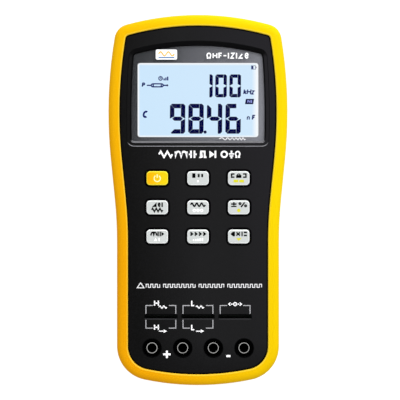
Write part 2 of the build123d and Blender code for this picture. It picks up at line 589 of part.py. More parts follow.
def make_socket_collars():
    """Insulating collars that shroud each socket, each with a ring on the board round the tube."""
    low, made = BOARD_TOP_Z + 0.05, []
    for at in socket_places():
        wall = tube(SOCKET_COLLAR_R, SOCKET_WELL_R, low, INNER_FRONT_Z, at)
        floor = tube(SOCKET_WELL_R + BITE, SOCKET_TUBE_R + COLLAR_FIT, low, low + COLLAR_FLOOR, at)
        made.append(wall + floor)
    return made


def make_slot_block():
    """The insulator that holds the spring contacts under the three slots."""
    x_size, high = 3 * SLOT_PITCH + 1, INNER_FRONT_Z - 0.05
    body = block(x_size, SLOT_BLOCK_Y, BOARD_TOP_Z, high, (0, SLOT_CENTRE_Y), 0.8)
    for place in slot_places():
        body -= block(SLOT_CAVITY_X, SLOT_CAVITY_Y, BOARD_TOP_Z - 1, INNER_FRONT_Z - SLOT_ROOF, place)
        body -= block(SLOT_X, SLOT_Y + 0.4, INNER_FRONT_Z - 2, INNER_FRONT_Z + 1, place)
    return body


def make_slot_contact(x):
    """A facing pair of spring leaves: each rises from the board and bows in to pinch a wire."""
    leaves = []
    for side in (-1, 1):
        strip = [(SLOT_CENTRE_Y + side * out, BOARD_TOP_Z + up) for out, up in LEAF_BOW]
        outer = [(y + side * LEAF_THICK, z) for y, z in reversed(strip)]
        profile = make_face(Polyline([(0, y, z) for y, z in [*strip, *outer, strip[0]]]))
        leaves.append(Pos(x - LEAF_X / 2, 0, 0) * extrude(profile, amount=LEAF_X, dir=(1, 0, 0)))
    return leaves


# ---------------------------------------------------------------- power
def cell_places():
    """(y, direction of the positive end) of each cell; they lie head to tail."""
    return [(BAY_CENTRE_Y + CELL_AT_Y, 1), (BAY_CENTRE_Y - CELL_AT_Y, -1)]


def make_cell(y, way):
    """A round cell with its positive nub; the negative end has a shallow dish."""
    half = CELL_LENGTH / 2
    can = rod_x(CELL_R, -half, half, y, CELL_Z)
    can = fillet(can.edges().filter_by(GeomType.CIRCLE), 0.5)
    nub = rod_x(CELL_NUB_R, half - BITE, half + CELL_NUB, y, CELL_Z)
    dish = rod_x(CELL_DISH_R, -half - 1, -half + CELL_DISH, y, CELL_Z)
    body = can + nub - dish
    return body if way > 0 else Pos(0, 2 * y, 0) * (Rot(0, 0, 180) * body)


def contact_places():
    """(x, y, side) of each contact's tail: a pair at the right, and the link at the left."""
    x = BAY_X / 2 - 0.75
    return [(x, BAY_CENTRE_Y + CELL_AT_Y, 1), (x, BAY_CENTRE_Y - CELL_AT_Y, 1), (-x, BAY_CENTRE_Y, -1)]


def make_battery_plates():
    """Two single plates at the right and one link plate at the left, each with a tail to the board."""
    plates = []
    for x, y, side in contact_places():
        width = 10.0 if side > 0 else 25.0
        plate = block(PLATE_THICK, width, CELL_Z - 5.4, CELL_Z + 6.6, (x, y))
        plates.append(plate + block(PLATE_THICK, PLATE_TAIL, CELL_Z + 6.1, BOARD_TOP_Z - 0.2, (x, y)))
    return plates


def make_battery_springs():
    """A coil at each cell's negative end."""
    coils = []
    end = BAY_X / 2 - 0.9
    length = end - CELL_LENGTH / 2 - 0.45
    for y, way in cell_places():
        height = length - 2 * SPRING_SEAT
        wire = Helix(pitch=length / SPRING_TURNS, height=height, radius=SPRING_R, center=(0, 0, SPRING_SEAT))
        section = Plane(origin=wire @ 0, z_dir=wire % 0) * Circle(SPRING_WIRE_R)
        coil = sweep(section, path=wire, is_frenet=True)
        turned = Rot(0, 90 * way, 0) * coil
        coils.append(Pos(-way * end, y, CELL_Z) * turned)
    return coils


def door_sketch(grow=0.0):
    """The door's outline: a plate over the bay with a round screw tab at each long side."""
    plate = Pos(0, BAY_CENTRE_Y) * RectangleRounded(DOOR_X + 2 * grow, DOOR_Y + 2 * grow, 3.0 + grow)
    tabs = [Pos(0, y) * Circle(DOOR_TAB_R + grow) for y in DOOR_SCREW_YS]
    return plate + tabs


def make_battery_door():
    door = slab(door_sketch(), BACK_Z, BACK_Z + DOOR_THICK)
    door = fillet(edges_at(door, BACK_Z), 0.3)
    for side in (-1, 1):
        rib_y = BAY_CENTRE_Y + side * (BAY_Y / 2 - 0.9)
        door += block(BAY_X - 6, 1.2, BACK_Z + DOOR_THICK - BITE, BACK_Z + DOOR_THICK + 1.2, (0, rib_y))
    for y in DOOR_SCREW_YS:
        door -= disc(DOOR_HEAD_R + 0.25, BACK_Z - 1, BACK_Z + 1.1, (0, y))
        door -= disc(1.5, BACK_Z, BACK_Z + DOOR_THICK + 1, (0, y))
    grips = [block(12, 0.9, BACK_Z - 1, BACK_Z + 0.5, (x, BAY_CENTRE_Y + dy), 0.4)
             for x in (-21, 21) for dy in (-4, -2, 0, 2, 4)]
    return door - grips


def make_door_screw(y):
    return screw((0, y), BACK_Z - 0.1, DOOR_HEAD_R, DOOR_HEAD, DOOR_SCREW_R, 9.8)


# ---------------------------------------------------------------- stand
def make_tilt_stand():
    """A plate with hinge pins at one end, lifted by its thumb edge at the other."""
    y_pin, z_pin = STAND_PIN
    length, middle_y = y_pin - STAND_END_Y, (y_pin + STAND_END_Y) / 2
    plate = block(2 * STAND_HALF_X, length, STAND_LOW_Z, STAND_HIGH_Z, (0, middle_y))
    plate = fillet(plate.edges().filter_by(Axis.Z).group_by(Axis.Y)[0], 5.0)
    plate = fillet(edges_at(plate, STAND_LOW_Z), 0.4)
    reach = STAND_HALF_X + STAND_PIN_REACH
    barrel = rod_x(STAND_KNUCKLE_R, -STAND_HALF_X, STAND_HALF_X, y_pin, z_pin)
    barrel += rod_x(STAND_PIN_R, -reach, reach, y_pin, z_pin)
    top = z_pin + STAND_KNUCKLE_R
    relief = block(2 * STAND_HALF_X + 1, 6, top - 0.9, top + 2, (0, y_pin - 1.0))
    stand = plate - relief + barrel

    hollow_size, panel_size = (2 * STAND_HALF_X - 8, length - 16), (2 * STAND_HALF_X - 12, length - 20)
    hollow = block(*hollow_size, STAND_HIGH_Z - 1.6, STAND_HIGH_Z + 1, (0, middle_y - 1), 3)
    for x in (-18.0, 0.0, 18.0):
        hollow -= block(2.0, length, STAND_HIGH_Z - 2, STAND_HIGH_Z + 2, (x, middle_y))
    panel = block(*panel_size, STAND_LOW_Z - 1, STAND_LOW_Z + 0.5, (0, middle_y - 2), 3)
    return stand - hollow - panel


# ---------------------------------------------------------------- fasteners and connectors
def make_case_screws():
    low = CASE_SEAT_Z - CASE_HEAD
    return [screw(at, low, CASE_HEAD_R, CASE_HEAD, CASE_PILOT_R - 0.05, SCREW_TIP_Z) for at in CASE_SCREWS]


def make_board_screws():
    low, shank_r = BOARD_Z - BOARD_HEAD, BOARD_PILOT_R - 0.04
    return [screw(at, low, BOARD_HEAD_R, BOARD_HEAD, shank_r, SCREW_TIP_Z) for at in BOARD_SCREWS]


def make_dc_jack():
    """The socket for the adaptor's plug, on the board's underside with its mouth in the side wall."""
    half_z = BOARD_Z - JACK_Z
    at = (JACK_MOUTH_X - JACK_BODY_X / 2, JACK_Y)
    body = block(JACK_BODY_X, JACK_BODY_Y, JACK_Z - half_z, BOARD_Z, at)
    body += rod_x(JACK_NOSE_R, JACK_MOUTH_X - 1, JACK_MOUTH_X + JACK_NOSE, JACK_Y, JACK_Z)
    return body - rod_x(JACK_BORE_R, JACK_MOUTH_X - JACK_BORE, JACK_MOUTH_X + 2, JACK_Y, JACK_Z)


def make_dc_jack_pin():
    pin = rod_x(JACK_PIN_R, JACK_MOUTH_X - JACK_BORE, JACK_MOUTH_X + 0.3, JACK_Y, JACK_Z)
    return fillet(pin.edges().filter_by(GeomType.CIRCLE).sort_by(Axis.X)[-1], 0.4)


def make_port_window():
    """The dark window of the optical link, held between the shells at the display end."""
    face_y, high = LENGTH / 2 - SHELL - 0.2, PORT_LOW_Z + PORT_Z
    deep = WALL + 0.3
    pane = block(PORT_X, deep, PORT_LOW_Z, high, (0, face_y - deep / 2))
    flange_y = face_y - deep - PORT_FLANGE / 2 + 0.05
    return pane + block(PORT_X + 3, PORT_FLANGE, PORT_LOW_Z - 1, high + 1, (0, flange_y))


def make_port_diodes():
    """Transmitter and receiver, lying on the board's underside and facing out."""
    foot_y = DIODE_TIP_Y - 3.6
    bodies = []
    for x in (-DIODE_X, DIODE_X):
        lens = rod_y(DIODE_R, foot_y, DIODE_TIP_Y, x, DIODE_Z)
        lens += Pos(x, DIODE_TIP_Y, DIODE_Z) * Sphere(DIODE_R)
        bodies.append(lens + block(3.6, 2.0, BOARD_Z - 4.4, BOARD_Z, (x, foot_y + 0.2)))
    return bodies


# ---------------------------------------------------------------- all nodes
def all_nodes():
    nodes = {
        "boot": make_boot(),
        "front_case": make_front_case(),
        "rear_case": make_rear_case(),
        "display_window": make_display_window(),
        "window_border": make_window_border(),
        "lcd_glass": make_lcd_glass(),
        "lcd_bezel": make_lcd_bezel(),
        "backlight": make_backlight(),
        "zebra_strips": make_zebra_strips(),
        "keypad_mat": make_keypad_mat(),
        "main_board": make_main_board(),
        "board_chips": make_board_chips(),
        "range_relays": make_range_relays(),
        "shield_can": make_shield_can(),
        "board_capacitors": make_board_capacitors(),
        "quartz_crystal": make_quartz_crystal(),
        "power_inductor": make_power_inductor(),
        "buzzer": make_buzzer(),
        "socket_collars": make_socket_collars(),
        "slot_block": make_slot_block(),
        "battery_plates": make_battery_plates(),
        "battery_springs": make_battery_springs(),
        "battery_door": make_battery_door(),
        "door_screw_upper": make_door_screw(DOOR_SCREW_YS[0]),
        "door_screw_lower": make_door_screw(DOOR_SCREW_YS[1]),
        "tilt_stand": make_tilt_stand(),
        "case_screws": make_case_screws(),
        "board_screws": make_board_screws(),
        "dc_jack": make_dc_jack(),
        "dc_jack_pin": make_dc_jack_pin(),
        "port_window": make_port_window(),
        "port_diodes": make_port_diodes(),
    }
    for name, x, y in key_places():
        nodes["key_" + name] = make_key(x, y)
        nodes["pill_" + name] = make_key_pill(x, y)
    for number, (x, y) in enumerate(socket_places(), 1):
        nodes[f"test_socket_{number}"] = make_test_socket(x, y)
    for name, (x, _) in zip(("high", "low", "guard"), slot_places()):
        nodes["slot_contact_" + name] = make_slot_contact(x)
    for number, (y, way) in enumerate(cell_places(), 1):
        nodes[f"battery_cell_{number}"] = make_cell(y, way)
    return nodes


def write_all():
    os.makedirs("parts", exist_ok=True)
    for name, shape in all_nodes().items():
        solids = shape if isinstance(shape, list) else [shape]
        parts = [solid for item in solids for solid in item.solids()]
        whole = Compound(children=[Solid(part.wrapped) for part in parts]) if len(parts) > 1 else parts[0]
        export_step(whole, os.path.join("parts", name + ".step"))


write_all()
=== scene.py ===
"""Looks for the hand-held LCR meter: finishes, printed and displayed marks, and the studio."""

import json
import math

import bmesh
import bpy
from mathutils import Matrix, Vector


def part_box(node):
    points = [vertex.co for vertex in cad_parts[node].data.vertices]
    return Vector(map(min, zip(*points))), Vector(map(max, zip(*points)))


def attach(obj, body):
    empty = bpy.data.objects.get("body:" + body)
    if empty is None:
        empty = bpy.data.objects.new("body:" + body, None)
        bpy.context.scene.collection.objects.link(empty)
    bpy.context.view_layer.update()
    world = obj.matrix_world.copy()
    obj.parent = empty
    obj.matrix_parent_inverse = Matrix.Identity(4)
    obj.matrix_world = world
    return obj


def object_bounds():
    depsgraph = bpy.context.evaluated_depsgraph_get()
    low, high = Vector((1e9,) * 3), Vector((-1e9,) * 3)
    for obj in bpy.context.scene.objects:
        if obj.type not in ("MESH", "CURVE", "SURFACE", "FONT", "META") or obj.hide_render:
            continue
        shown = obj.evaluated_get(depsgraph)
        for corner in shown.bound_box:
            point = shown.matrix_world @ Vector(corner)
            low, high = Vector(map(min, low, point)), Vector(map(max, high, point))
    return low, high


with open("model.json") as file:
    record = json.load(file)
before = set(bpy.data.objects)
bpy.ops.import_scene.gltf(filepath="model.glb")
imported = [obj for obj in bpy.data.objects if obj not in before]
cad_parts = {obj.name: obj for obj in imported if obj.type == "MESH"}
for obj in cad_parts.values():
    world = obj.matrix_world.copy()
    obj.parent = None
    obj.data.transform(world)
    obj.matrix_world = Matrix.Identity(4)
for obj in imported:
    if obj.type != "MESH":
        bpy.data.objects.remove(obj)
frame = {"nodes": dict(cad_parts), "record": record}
cad_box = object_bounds()
nodes = frame["nodes"]
MM = 0.001  # every size below is in millimetres, and is turned into metres where vertices are made


# ---------------------------------------------------------------- places, from the frame
def box_mm(node):
    low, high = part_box(node)
    return low / MM, high / MM


def middle_mm(node):
    low, high = box_mm(node)
    return (low + high) / 2


FACE_Z = box_mm("front_case")[1].z
BACK_Z = box_mm("battery_door")[0].z
LENS_Z = box_mm("display_window")[1].z
GLASS_Z = box_mm("lcd_glass")[1].z
VIEW_MIDDLE = (middle_mm("lcd_bezel").x, middle_mm("lcd_bezel").y)
VIEW_HALF = (30.0, 18.4)  # half the clear part of the printed border
SLOTS = {name: middle_mm("slot_contact_" + name) for name in ("high", "low", "guard")}
SOCKET_TOP = box_mm("test_socket_1")[1].z
KEYS = ("power", "remote", "hold", "loss_factor", "frequency", "tolerance", "function", "speed", "clear")
KEY_DISH_R = 60.0         # the hollow across each key's top
KEY_DISH_FALL = 0.074     # from the key's highest line down to the middle of its hollow


# ---------------------------------------------------------------- finishes
class Finish:
    """A Principled material, with helpers that feed its sockets from positions on the part."""

    def __init__(self, name, colour, roughness, metallic=0.0, specular=0.5, coat=0.0):
        self.material = bpy.data.materials.new(name)
        self.material.use_nodes = True
        self.tree = self.material.node_tree
        self.shader = self.tree.nodes["Principled BSDF"]
        self.set("Base Color", (*colour, 1.0))
        self.set("Roughness", roughness)
        self.set("Metallic", metallic)
        self.set("Specular IOR Level", specular)
        self.set("Coat Weight", coat)
        self.set("Coat Roughness", 0.12)
        coordinates = self.add("ShaderNodeTexCoord")
        self.place, self.normal = coordinates.outputs["Object"], coordinates.outputs["Normal"]

    def set(self, socket, value):
        self.shader.inputs[socket].default_value = value

    def add(self, kind, **settings):
        node = self.tree.nodes.new(kind)
        for key, value in settings.items():
            setattr(node, key, value)
        return node

    def join(self, source, target):
        self.tree.links.new(source, target)

    def feed(self, source, socket):
        self.join(source, self.shader.inputs[socket])

    def noise(self, size, detail=2.0, stretch=(1, 1, 1)):
        """Noise whose blobs are about size millimetres across."""
        mapping = self.add("ShaderNodeMapping")
        mapping.inputs["Scale"].default_value = [s / (size * MM) for s in stretch]
        self.join(self.place, mapping.inputs["Vector"])
        noise = self.add("ShaderNodeTexNoise")
        noise.inputs["Scale"].default_value = 1.0
        noise.inputs["Detail"].default_value = detail
        self.join(mapping.outputs["Vector"], noise.inputs["Vector"])
        return noise.outputs["Fac"]

    def ramp(self, source, low, high, to_low=0.0, to_high=1.0):
        """source, from low to high, turned into to_low to to_high and kept between them."""
        node = self.add("ShaderNodeMapRange")
        for key, value in (("From Min", low), ("From Max", high), ("To Min", to_low), ("To Max", to_high)):
            node.inputs[key].default_value = value
        self.join(source, node.inputs["Value"])
        return node.outputs["Result"]

    def along(self, direction):
        """How far a point lies along a direction, in millimetres."""
        node = self.add("ShaderNodeVectorMath", operation="DOT_PRODUCT")
        node.inputs[1].default_value = [part / MM for part in direction]
        self.join(self.place, node.inputs[0])
        return node.outputs["Value"]

    def band(self, axis, low, high):
        """1 where a point lies between low and high along an axis, in millimetres, and 0 elsewhere."""
        split = self.add("ShaderNodeSeparateXYZ")
        self.join(self.place, split.inputs["Vector"])
        middle, half = (low + high) / 2 * MM, (high - low) / 2 * MM
        away = self.maths("ABSOLUTE", self.maths("SUBTRACT", split.outputs[axis], middle), 0.0)
        return self.maths("LESS_THAN", away, half)

    def facing(self, axis):
        """How squarely a surface faces along one of the part's own axes, from -1 to 1."""
        split = self.add("ShaderNodeSeparateXYZ")
        self.join(self.normal, split.inputs["Vector"])
        return split.outputs[axis]

    def outward(self):
        """How far a surface faces away from the middle of the plan, weighted by its distance from it."""
        level = self.add("ShaderNodeVectorMath", operation="MULTIPLY")
        level.inputs[1].default_value = (1, 1, 0)
        self.join(self.place, level.inputs[0])
        node = self.add("ShaderNodeVectorMath", operation="DOT_PRODUCT")
        self.join(level.outputs["Vector"], node.inputs[0])
        self.join(self.normal, node.inputs[1])
        return node.outputs["Value"]

    def flatness(self):
        """How level a surface lies: 1 flat, whether it faces up or down, and 0 upright."""
        return self.maths("ABSOLUTE", self.facing("Z"), 0.0)

    def blend(self, factor, first, second):
        """first where factor is 0 and second where it is 1; either may be a colour or an output."""
        node = self.add("ShaderNodeMix", data_type="RGBA")
        self.join(factor, node.inputs["Factor"])
        for socket, value in ((node.inputs["A"], first), (node.inputs["B"], second)):
            if isinstance(value, bpy.types.NodeSocket):
                self.join(value, socket)
            else:
                socket.default_value = (*value, 1.0)
        return node.outputs["Result"]

    def maths(self, operation, first, second):
        node = self.add("ShaderNodeMath", operation=operation)
        for socket, value in zip(node.inputs, (first, second)):
            if isinstance(value, bpy.types.NodeSocket):
                self.join(value, socket)
            else:
                socket.default_value = value
        return node.outputs["Value"]

    def grain(self, height, depth):
        """Fine relief: height is an output, and depth its full depth in millimetres."""
        bump = self.add("ShaderNodeBump")
        bump.inputs["Strength"].default_value = 1.0
        bump.inputs["Distance"].default_value = depth * MM
        self.join(height, bump.inputs["Height"])
        self.feed(bump.outputs["Normal"], "Normal")

    def show(self, shader):
        """Use this shader output as the material's surface."""
        self.join(shader, self.tree.nodes["Material Output"].inputs["Surface"])
        return self.material


def srgb(red, green, blue):
    """Linear colour of a screen colour given as 0 to 255."""
    def linear(level):
        level /= 255.0
        return level / 12.92 if level <= 0.04045 else ((level + 0.055) / 1.055) ** 2.4
    return (linear(red), linear(green), linear(blue))


def plain(name, colour, roughness=0.5, grain=0.0, **more):
    """An even colour with a little roughness change and, if asked, a fine grain."""
    finish = Finish(name, colour, roughness, **more)
    cloud = finish.noise(4.0, 3.0)
    finish.feed(finish.ramp(cloud, 0.3, 0.7, roughness * 0.92, min(1.0, roughness * 1.08)), "Roughness")
    if grain:
        finish.grain(finish.noise(0.3, 2.0), grain)
    return finish.material


def darker(colour):
    return [part * 0.8 for part in colour]


def ink(name, colour, specular=0.1):
    """Matt print, a little uneven in tone."""
    finish = Finish(name, colour, 0.55, specular=specular)
    cloud = finish.ramp(finish.noise(0.9, 2.0), 0.35, 0.7, 0.0, 0.12)
    finish.feed(finish.blend(cloud, colour, darker(colour)), "Base Color")
    return finish.material


def boot_finish():
    """Moulded elastomer with fine grain: painted shade turns it deeper orange towards the left, and a
    painted highlight pales its inner edge.
    """
    shade_yellow, lit_yellow = srgb(213, 147, 1), srgb(218, 189, 1)
    pale, deep = srgb(236, 206, 70), srgb(203, 142, 1)
    finish = Finish("boot_elastomer", srgb(218, 175, 4), 0.5, specular=0.03)
    # painted shade: deeper orange towards the left, yellower towards the right
    across = finish.ramp(finish.along((1.0, 0.28, 0)), -46, 34)
    # painted highlight along the inner edge
    lip_highlight = finish.ramp(finish.outward(), -0.002, -0.015, 0.0, 0.45)
    body = finish.blend(lip_highlight, finish.blend(across, shade_yellow, lit_yellow), pale)
    cloud = finish.ramp(finish.noise(22.0, 4.0), 0.35, 0.75, 0.0, 0.08)
    finish.feed(finish.blend(cloud, body, deep), "Base Color")
    finish.feed(finish.ramp(finish.noise(7.0, 3.0), 0.3, 0.7, 0.45, 0.56), "Roughness")
    finish.grain(finish.noise(0.35, 3.0), 0.012)
    return finish.material


def case_finish():
    """Near-black moulding with a fine grain, darker towards the grip end; painted shade darkens its left
    and blackens its upright edges and faces turned to the grip end, and painted highlights pale the lips
    under the window and slots.
    """
    black, jet, charcoal, dusk = srgb(4, 4, 5), srgb(7, 7, 7), srgb(23, 23, 24), srgb(30, 29, 33)
    finish = Finish("case_plastic", srgb(22, 22, 23), 0.55, specular=0.04)
    # painted shade: black at the left, greyer towards the right
    left = finish.ramp(finish.along((1.0, 0.1, 0)), -36, -2)
    right = finish.ramp(finish.along((1.0, 0.2, 0)), 12, 56)
    body = finish.blend(right, finish.blend(left, jet, charcoal), dusk)
    # darker towards the grip end
    grip_end = finish.ramp(finish.along((0, 1.0, 0)), -70, -84, 0.0, 0.6)
    body = finish.blend(grip_end, body, srgb(9, 9, 10))
    speck = finish.ramp(finish.noise(0.5, 2.0), 0.45, 0.7, 0.0, 0.2)
    matt = finish.blend(speck, body, srgb(32, 32, 34))
    # painted shade: upright edges and faces turned to the grip end go black
    steep_shade = finish.ramp(finish.flatness(), 0.97, 0.94)
    overhang_shade = finish.ramp(finish.facing("Y"), -0.03, -0.12)
    edge_shaded = finish.blend(finish.maths("MAXIMUM", steep_shade, overhang_shade), matt, black)

    # painted highlight on the lips that face the display end: bright under the window, faint under the
    # slots
    slot_y, slot_highlight_share = SLOTS["low"].y, 0.07
    under_window = finish.band("Y", VIEW_MIDDLE[1] - 25.7, VIEW_MIDDLE[1] - 19.7)
    under_slots = finish.maths("MULTIPLY", finish.band("Y", slot_y - 2.5, slot_y), slot_highlight_share)
    rows = finish.maths("MAXIMUM", under_window, under_slots)
    lips = finish.maths("MULTIPLY", rows, finish.band("Z", FACE_Z - 1.7, FACE_Z + 0.8))
    foot = finish.maths("MULTIPLY", lips, finish.ramp(finish.facing("Y"), 0.3, 0.6))
    finish.feed(finish.blend(foot, edge_shaded, srgb(150, 150, 155)), "Base Color")
    finish.feed(finish.ramp(finish.noise(0.6, 3.0), 0.3, 0.7, 0.48, 0.64), "Roughness")
    finish.grain(finish.noise(0.28, 3.0), 0.02)
    return finish.material


def border_finish():
    """The window's printed border: charcoal, with a painted reflection that pales it towards the upper
    right.
    """
    finish = Finish("border_print", srgb(60, 60, 62), 0.4, specular=0.1)
    # painted reflection: paler towards the upper right
    across = finish.ramp(finish.along((1.0, -0.2, 0)), -42, 24)
    finish.feed(finish.blend(across, srgb(46, 48, 51), srgb(120, 121, 128)), "Base Color")
    return finish.material


def window_finish():
    """A thin clear sheet: see-through face on, glossy at a slant, with a painted highlight along its
    foot's edge.
    """
    finish = Finish("window_clear", (1, 1, 1), 0.04)
    clear = finish.add("ShaderNodeBsdfTransparent")
    clear.inputs["Color"].default_value = (0.98, 0.98, 0.98, 1)
    gloss = finish.add("ShaderNodeBsdfGlossy")
    gloss.inputs["Roughness"].default_value = 0.04
    share = finish.add("ShaderNodeFresnel")
    share.inputs["IOR"].default_value = 1.25
    inside = finish.add("ShaderNodeNewGeometry").outputs["Backfacing"]
    outer = finish.maths("MULTIPLY", share.outputs["Fac"], finish.maths("SUBTRACT", 1.0, inside))
    both = finish.add("ShaderNodeMixShader")
    finish.join(outer, both.inputs["Fac"])
    finish.join(clear.outputs["BSDF"], both.inputs[1])
    finish.join(gloss.outputs["BSDF"], both.inputs[2])
    # painted highlight: a grey diffuse in place of the clear sheet on the foot's slanted edge
    edge_highlight = finish.add("ShaderNodeBsdfDiffuse")
    edge_highlight.inputs["Color"].default_value = (0.4, 0.4, 0.42, 1)
    slanted = finish.ramp(finish.flatness(), 0.9, 0.8)
    edge = finish.add("ShaderNodeMixShader")
    finish.join(finish.maths("MULTIPLY", slanted, finish.band("Y", 28.0, 29.6)), edge.inputs["Fac"])
    finish.join(both.outputs["Shader"], edge.inputs[1])
    finish.join(edge_highlight.outputs["BSDF"], edge.inputs[2])
    return finish.show(edge.outputs["Shader"])


def edge_distance(finish, middle, half):
    """How far inside a rectangle a point lies, in millimetres."""
    split = finish.add("ShaderNodeSeparateXYZ")
    finish.join(finish.place, split.inputs["Vector"])
    depths = []
    for axis, centre, reach in (("X", middle[0], half[0]), ("Y", middle[1], half[1])):
        from_centre = finish.maths("SUBTRACT", split.outputs[axis], centre * MM)
        away = finish.maths("ABSOLUTE", from_centre, 0.0)
        depths.append(finish.maths("MULTIPLY", finish.maths("SUBTRACT", reach * MM, away), 1 / MM))
    return finish.maths("MINIMUM", *depths)


def display_finish():
    """Backlit glass: pale blue, whiter round its rim and towards its lamps."""
    finish = Finish("display_glass", (0.02, 0.02, 0.03), 0.2, specular=0.0)
    across = finish.ramp(finish.along((1.0, 0.25, 0)), -20, 46)
    lit = finish.blend(across, srgb(205, 233, 254), srgb(210, 235, 254))
    rim = finish.ramp(edge_distance(finish, VIEW_MIDDLE, VIEW_HALF), 0.2, 1.2, 0.9, 0.0)
    lamps = finish.ramp(finish.along((1, 0, 0)), 26.8, 29.2, 0.0, 0.9)
    glow = finish.maths("MAXIMUM", rim, lamps)
    finish.feed(finish.blend(glow, lit, srgb(252, 254, 255)), "Emission Color")
    finish.set("Emission Strength", 1.0)
    return finish.material


def key_finish(name, left, right, rim):
    """A hard satin cap: painted shade turns it from its left colour to its right one, a painted highlight
    pales its rounded edge, and painted shade blackens it below the face, in its opening.
    """
    finish = Finish(name, left, 0.42, specular=0.06)
    # painted highlight: the rounded edge takes the rim colour
    level = finish.ramp(finish.flatness(), 0.9, 0.992)
    # painted shade: the left colour over the left column of keys, the right one beyond it
    across = finish.ramp(finish.along((1, 0, 0)), -24.0, -17.0)  # over the left column of keys
    speck = finish.ramp(finish.noise(0.7, 2.0), 0.4, 0.7, 0.0, 0.12)
    face = finish.blend(speck, finish.blend(across, left, right), darker(left))
    # painted shade: black below the face's level, in the key's opening
    height = finish.ramp(finish.along((0, 0, 1)), FACE_Z - 0.6, FACE_Z - 0.1)
    gap_shade = (0.003, 0.003, 0.003)
    finish.feed(finish.blend(height, gap_shade, finish.blend(level, rim, face)), "Base Color")
    finish.grain(finish.noise(0.3, 2.0), 0.006)
    return finish.material


def board_finish():
    """Dark green solder mask with faint tracks under it."""
    finish = Finish("board_laminate", (0.002, 0.012, 0.006), 0.35, specular=0.2)
    tracks = finish.ramp(finish.noise(3.0, 1.0, (1.0, 4.0, 1.0)), 0.5, 0.56)
    finish.feed(finish.blend(tracks, (0.002, 0.010, 0.005), (0.004, 0.02, 0.009)), "Base Color")
    return finish.material


def metal_finish(name, colour, roughness, brush=(1, 1, 1)):
    """Bare metal with fine marks along one direction."""
    finish = Finish(name, colour, roughness, metallic=1.0)
    marks = finish.noise(0.4, 3.0, brush)
    finish.feed(finish.ramp(marks, 0.3, 0.7, roughness * 0.8, roughness * 1.25), "Roughness")
    finish.grain(marks, 0.004)
    return finish.material


def socket_finish():
    """Nickel plate on the ring's flat top; painted shade makes it dull and dark in the mouth and down
    inside.
    """
    finish = Finish("socket_metal", (0.6, 0.6, 0.58), 0.3, metallic=1.0)
    # painted shade: dark below the ring's flat top, in the mouth and the bore
    high = finish.ramp(finish.along((0, 0, 1)), SOCKET_TOP - 1.0, SOCKET_TOP - 0.3)
    bright = finish.maths("MULTIPLY", high, finish.ramp(finish.flatness(), 0.9, 0.98))
    finish.feed(finish.blend(bright, (0.008, 0.008, 0.008), (0.62, 0.62, 0.6)), "Base Color")
    finish.feed(finish.ramp(bright, 0, 1, 0.7, 0.35), "Roughness")
    return finish.material


def cell_finish():
    """A cell's printed jacket: two colours that meet in a band."""
    finish = Finish("cell_can", (0.1, 0.1, 0.1), 0.3, metallic=0.3, coat=0.3)
    band = finish.ramp(finish.along((1, 0, 0)), 9.9, 10.1)
    finish.feed(finish.blend(band, (0.03, 0.035, 0.04), (0.55, 0.28, 0.08)), "Base Color")
    return finish.material


KEY_GREY = srgb(186, 190, 189)
FINISHES = {
    "boot_elastomer": boot_finish(),
    "case_plastic": case_finish(),
    "window_clear": window_finish(),
    "border_print": border_finish(),
    "display_glass": display_finish(),
    "white_plastic": plain("white_plastic", (0.8, 0.82, 0.82), 0.35),
    "black_plastic": plain("black_plastic", (0.004, 0.004, 0.005), 0.7, grain=0.01, specular=0.1),
    "board_laminate": board_finish(),
    "chip_resin": plain("chip_resin", (0.012, 0.012, 0.013), 0.55, grain=0.01),
    "relay_plastic": plain("relay_plastic", (0.7, 0.66, 0.5), 0.4),
    "tin_plate": metal_finish("tin_plate", (0.7, 0.7, 0.69), 0.3, (1, 6, 1)),
    "can_metal": metal_finish("can_metal", (0.75, 0.76, 0.78), 0.25, (1, 1, 6)),
    "mat_rubber": plain("mat_rubber", (0.12, 0.125, 0.125), 0.75, grain=0.01),
    # the last colour of each key is its painted highlight; the orange key's deeper left colour is painted
    # shade
    "key_grey": key_finish("key_grey", KEY_GREY, KEY_GREY, srgb(234, 237, 237)),
    "key_orange": key_finish("key_orange", srgb(220, 164, 2), srgb(218, 190, 12), srgb(240, 224, 62)),
    "pill_carbon": plain("pill_carbon", (0.01, 0.01, 0.01), 0.7),
    "socket_metal": socket_finish(),
    # painted shade: the gold-plated leaves are coloured near-black, down in the slots
    "leaf_metal": metal_finish("leaf_metal", (0.035, 0.033, 0.03), 0.5, (6, 1, 1)),
    "cell_can": cell_finish(),
    "spring_steel": metal_finish("spring_steel", (0.7, 0.7, 0.7), 0.25),
    "screw_steel": metal_finish("screw_steel", (0.42, 0.42, 0.43), 0.35),
    "port_plastic": plain("port_plastic", (0.012, 0.002, 0.004), 0.08, coat=0.5),
    "diode_resin": plain("diode_resin", (0.02, 0.02, 0.05), 0.1, coat=0.5),
}
PRINT_WHITE = ink("print_white", srgb(248, 248, 250))
PRINT_PALE = ink("print_pale", srgb(224, 224, 226))
PRINT_GREY = ink("print_grey", srgb(160, 160, 163))
PRINT_BLACK = ink("print_black", srgb(4, 4, 5), specular=0.0)
PRINT_CREAM = ink("print_cream", srgb(255, 232, 170))
PRINT_LIME = ink("print_lime", srgb(200, 194, 45))
PRINT_BLUE = ink("print_blue", srgb(20, 96, 160))
PRINT_AMBER = ink("print_amber", srgb(236, 170, 60))
PRINT_TAG = ink("print_tag", srgb(150, 160, 235))
RATING_PLATE = plain("rating_plate", srgb(168, 170, 172), 0.35, metallic=0.6)
SEGMENT = plain("display_segment", srgb(0, 1, 54), 0.5, specular=0.0)
SEGMENT_SOFT = plain("display_segment_soft", srgb(4, 18, 96), 0.5, specular=0.0)


def dress_nodes():
    slots = {part["node"]: part["material_slot"] for part in frame["record"]["subparts"]}
    for name, part in nodes.items():
        part.data.materials.clear()
        part.data.materials.append(FINISHES[slots[name]])


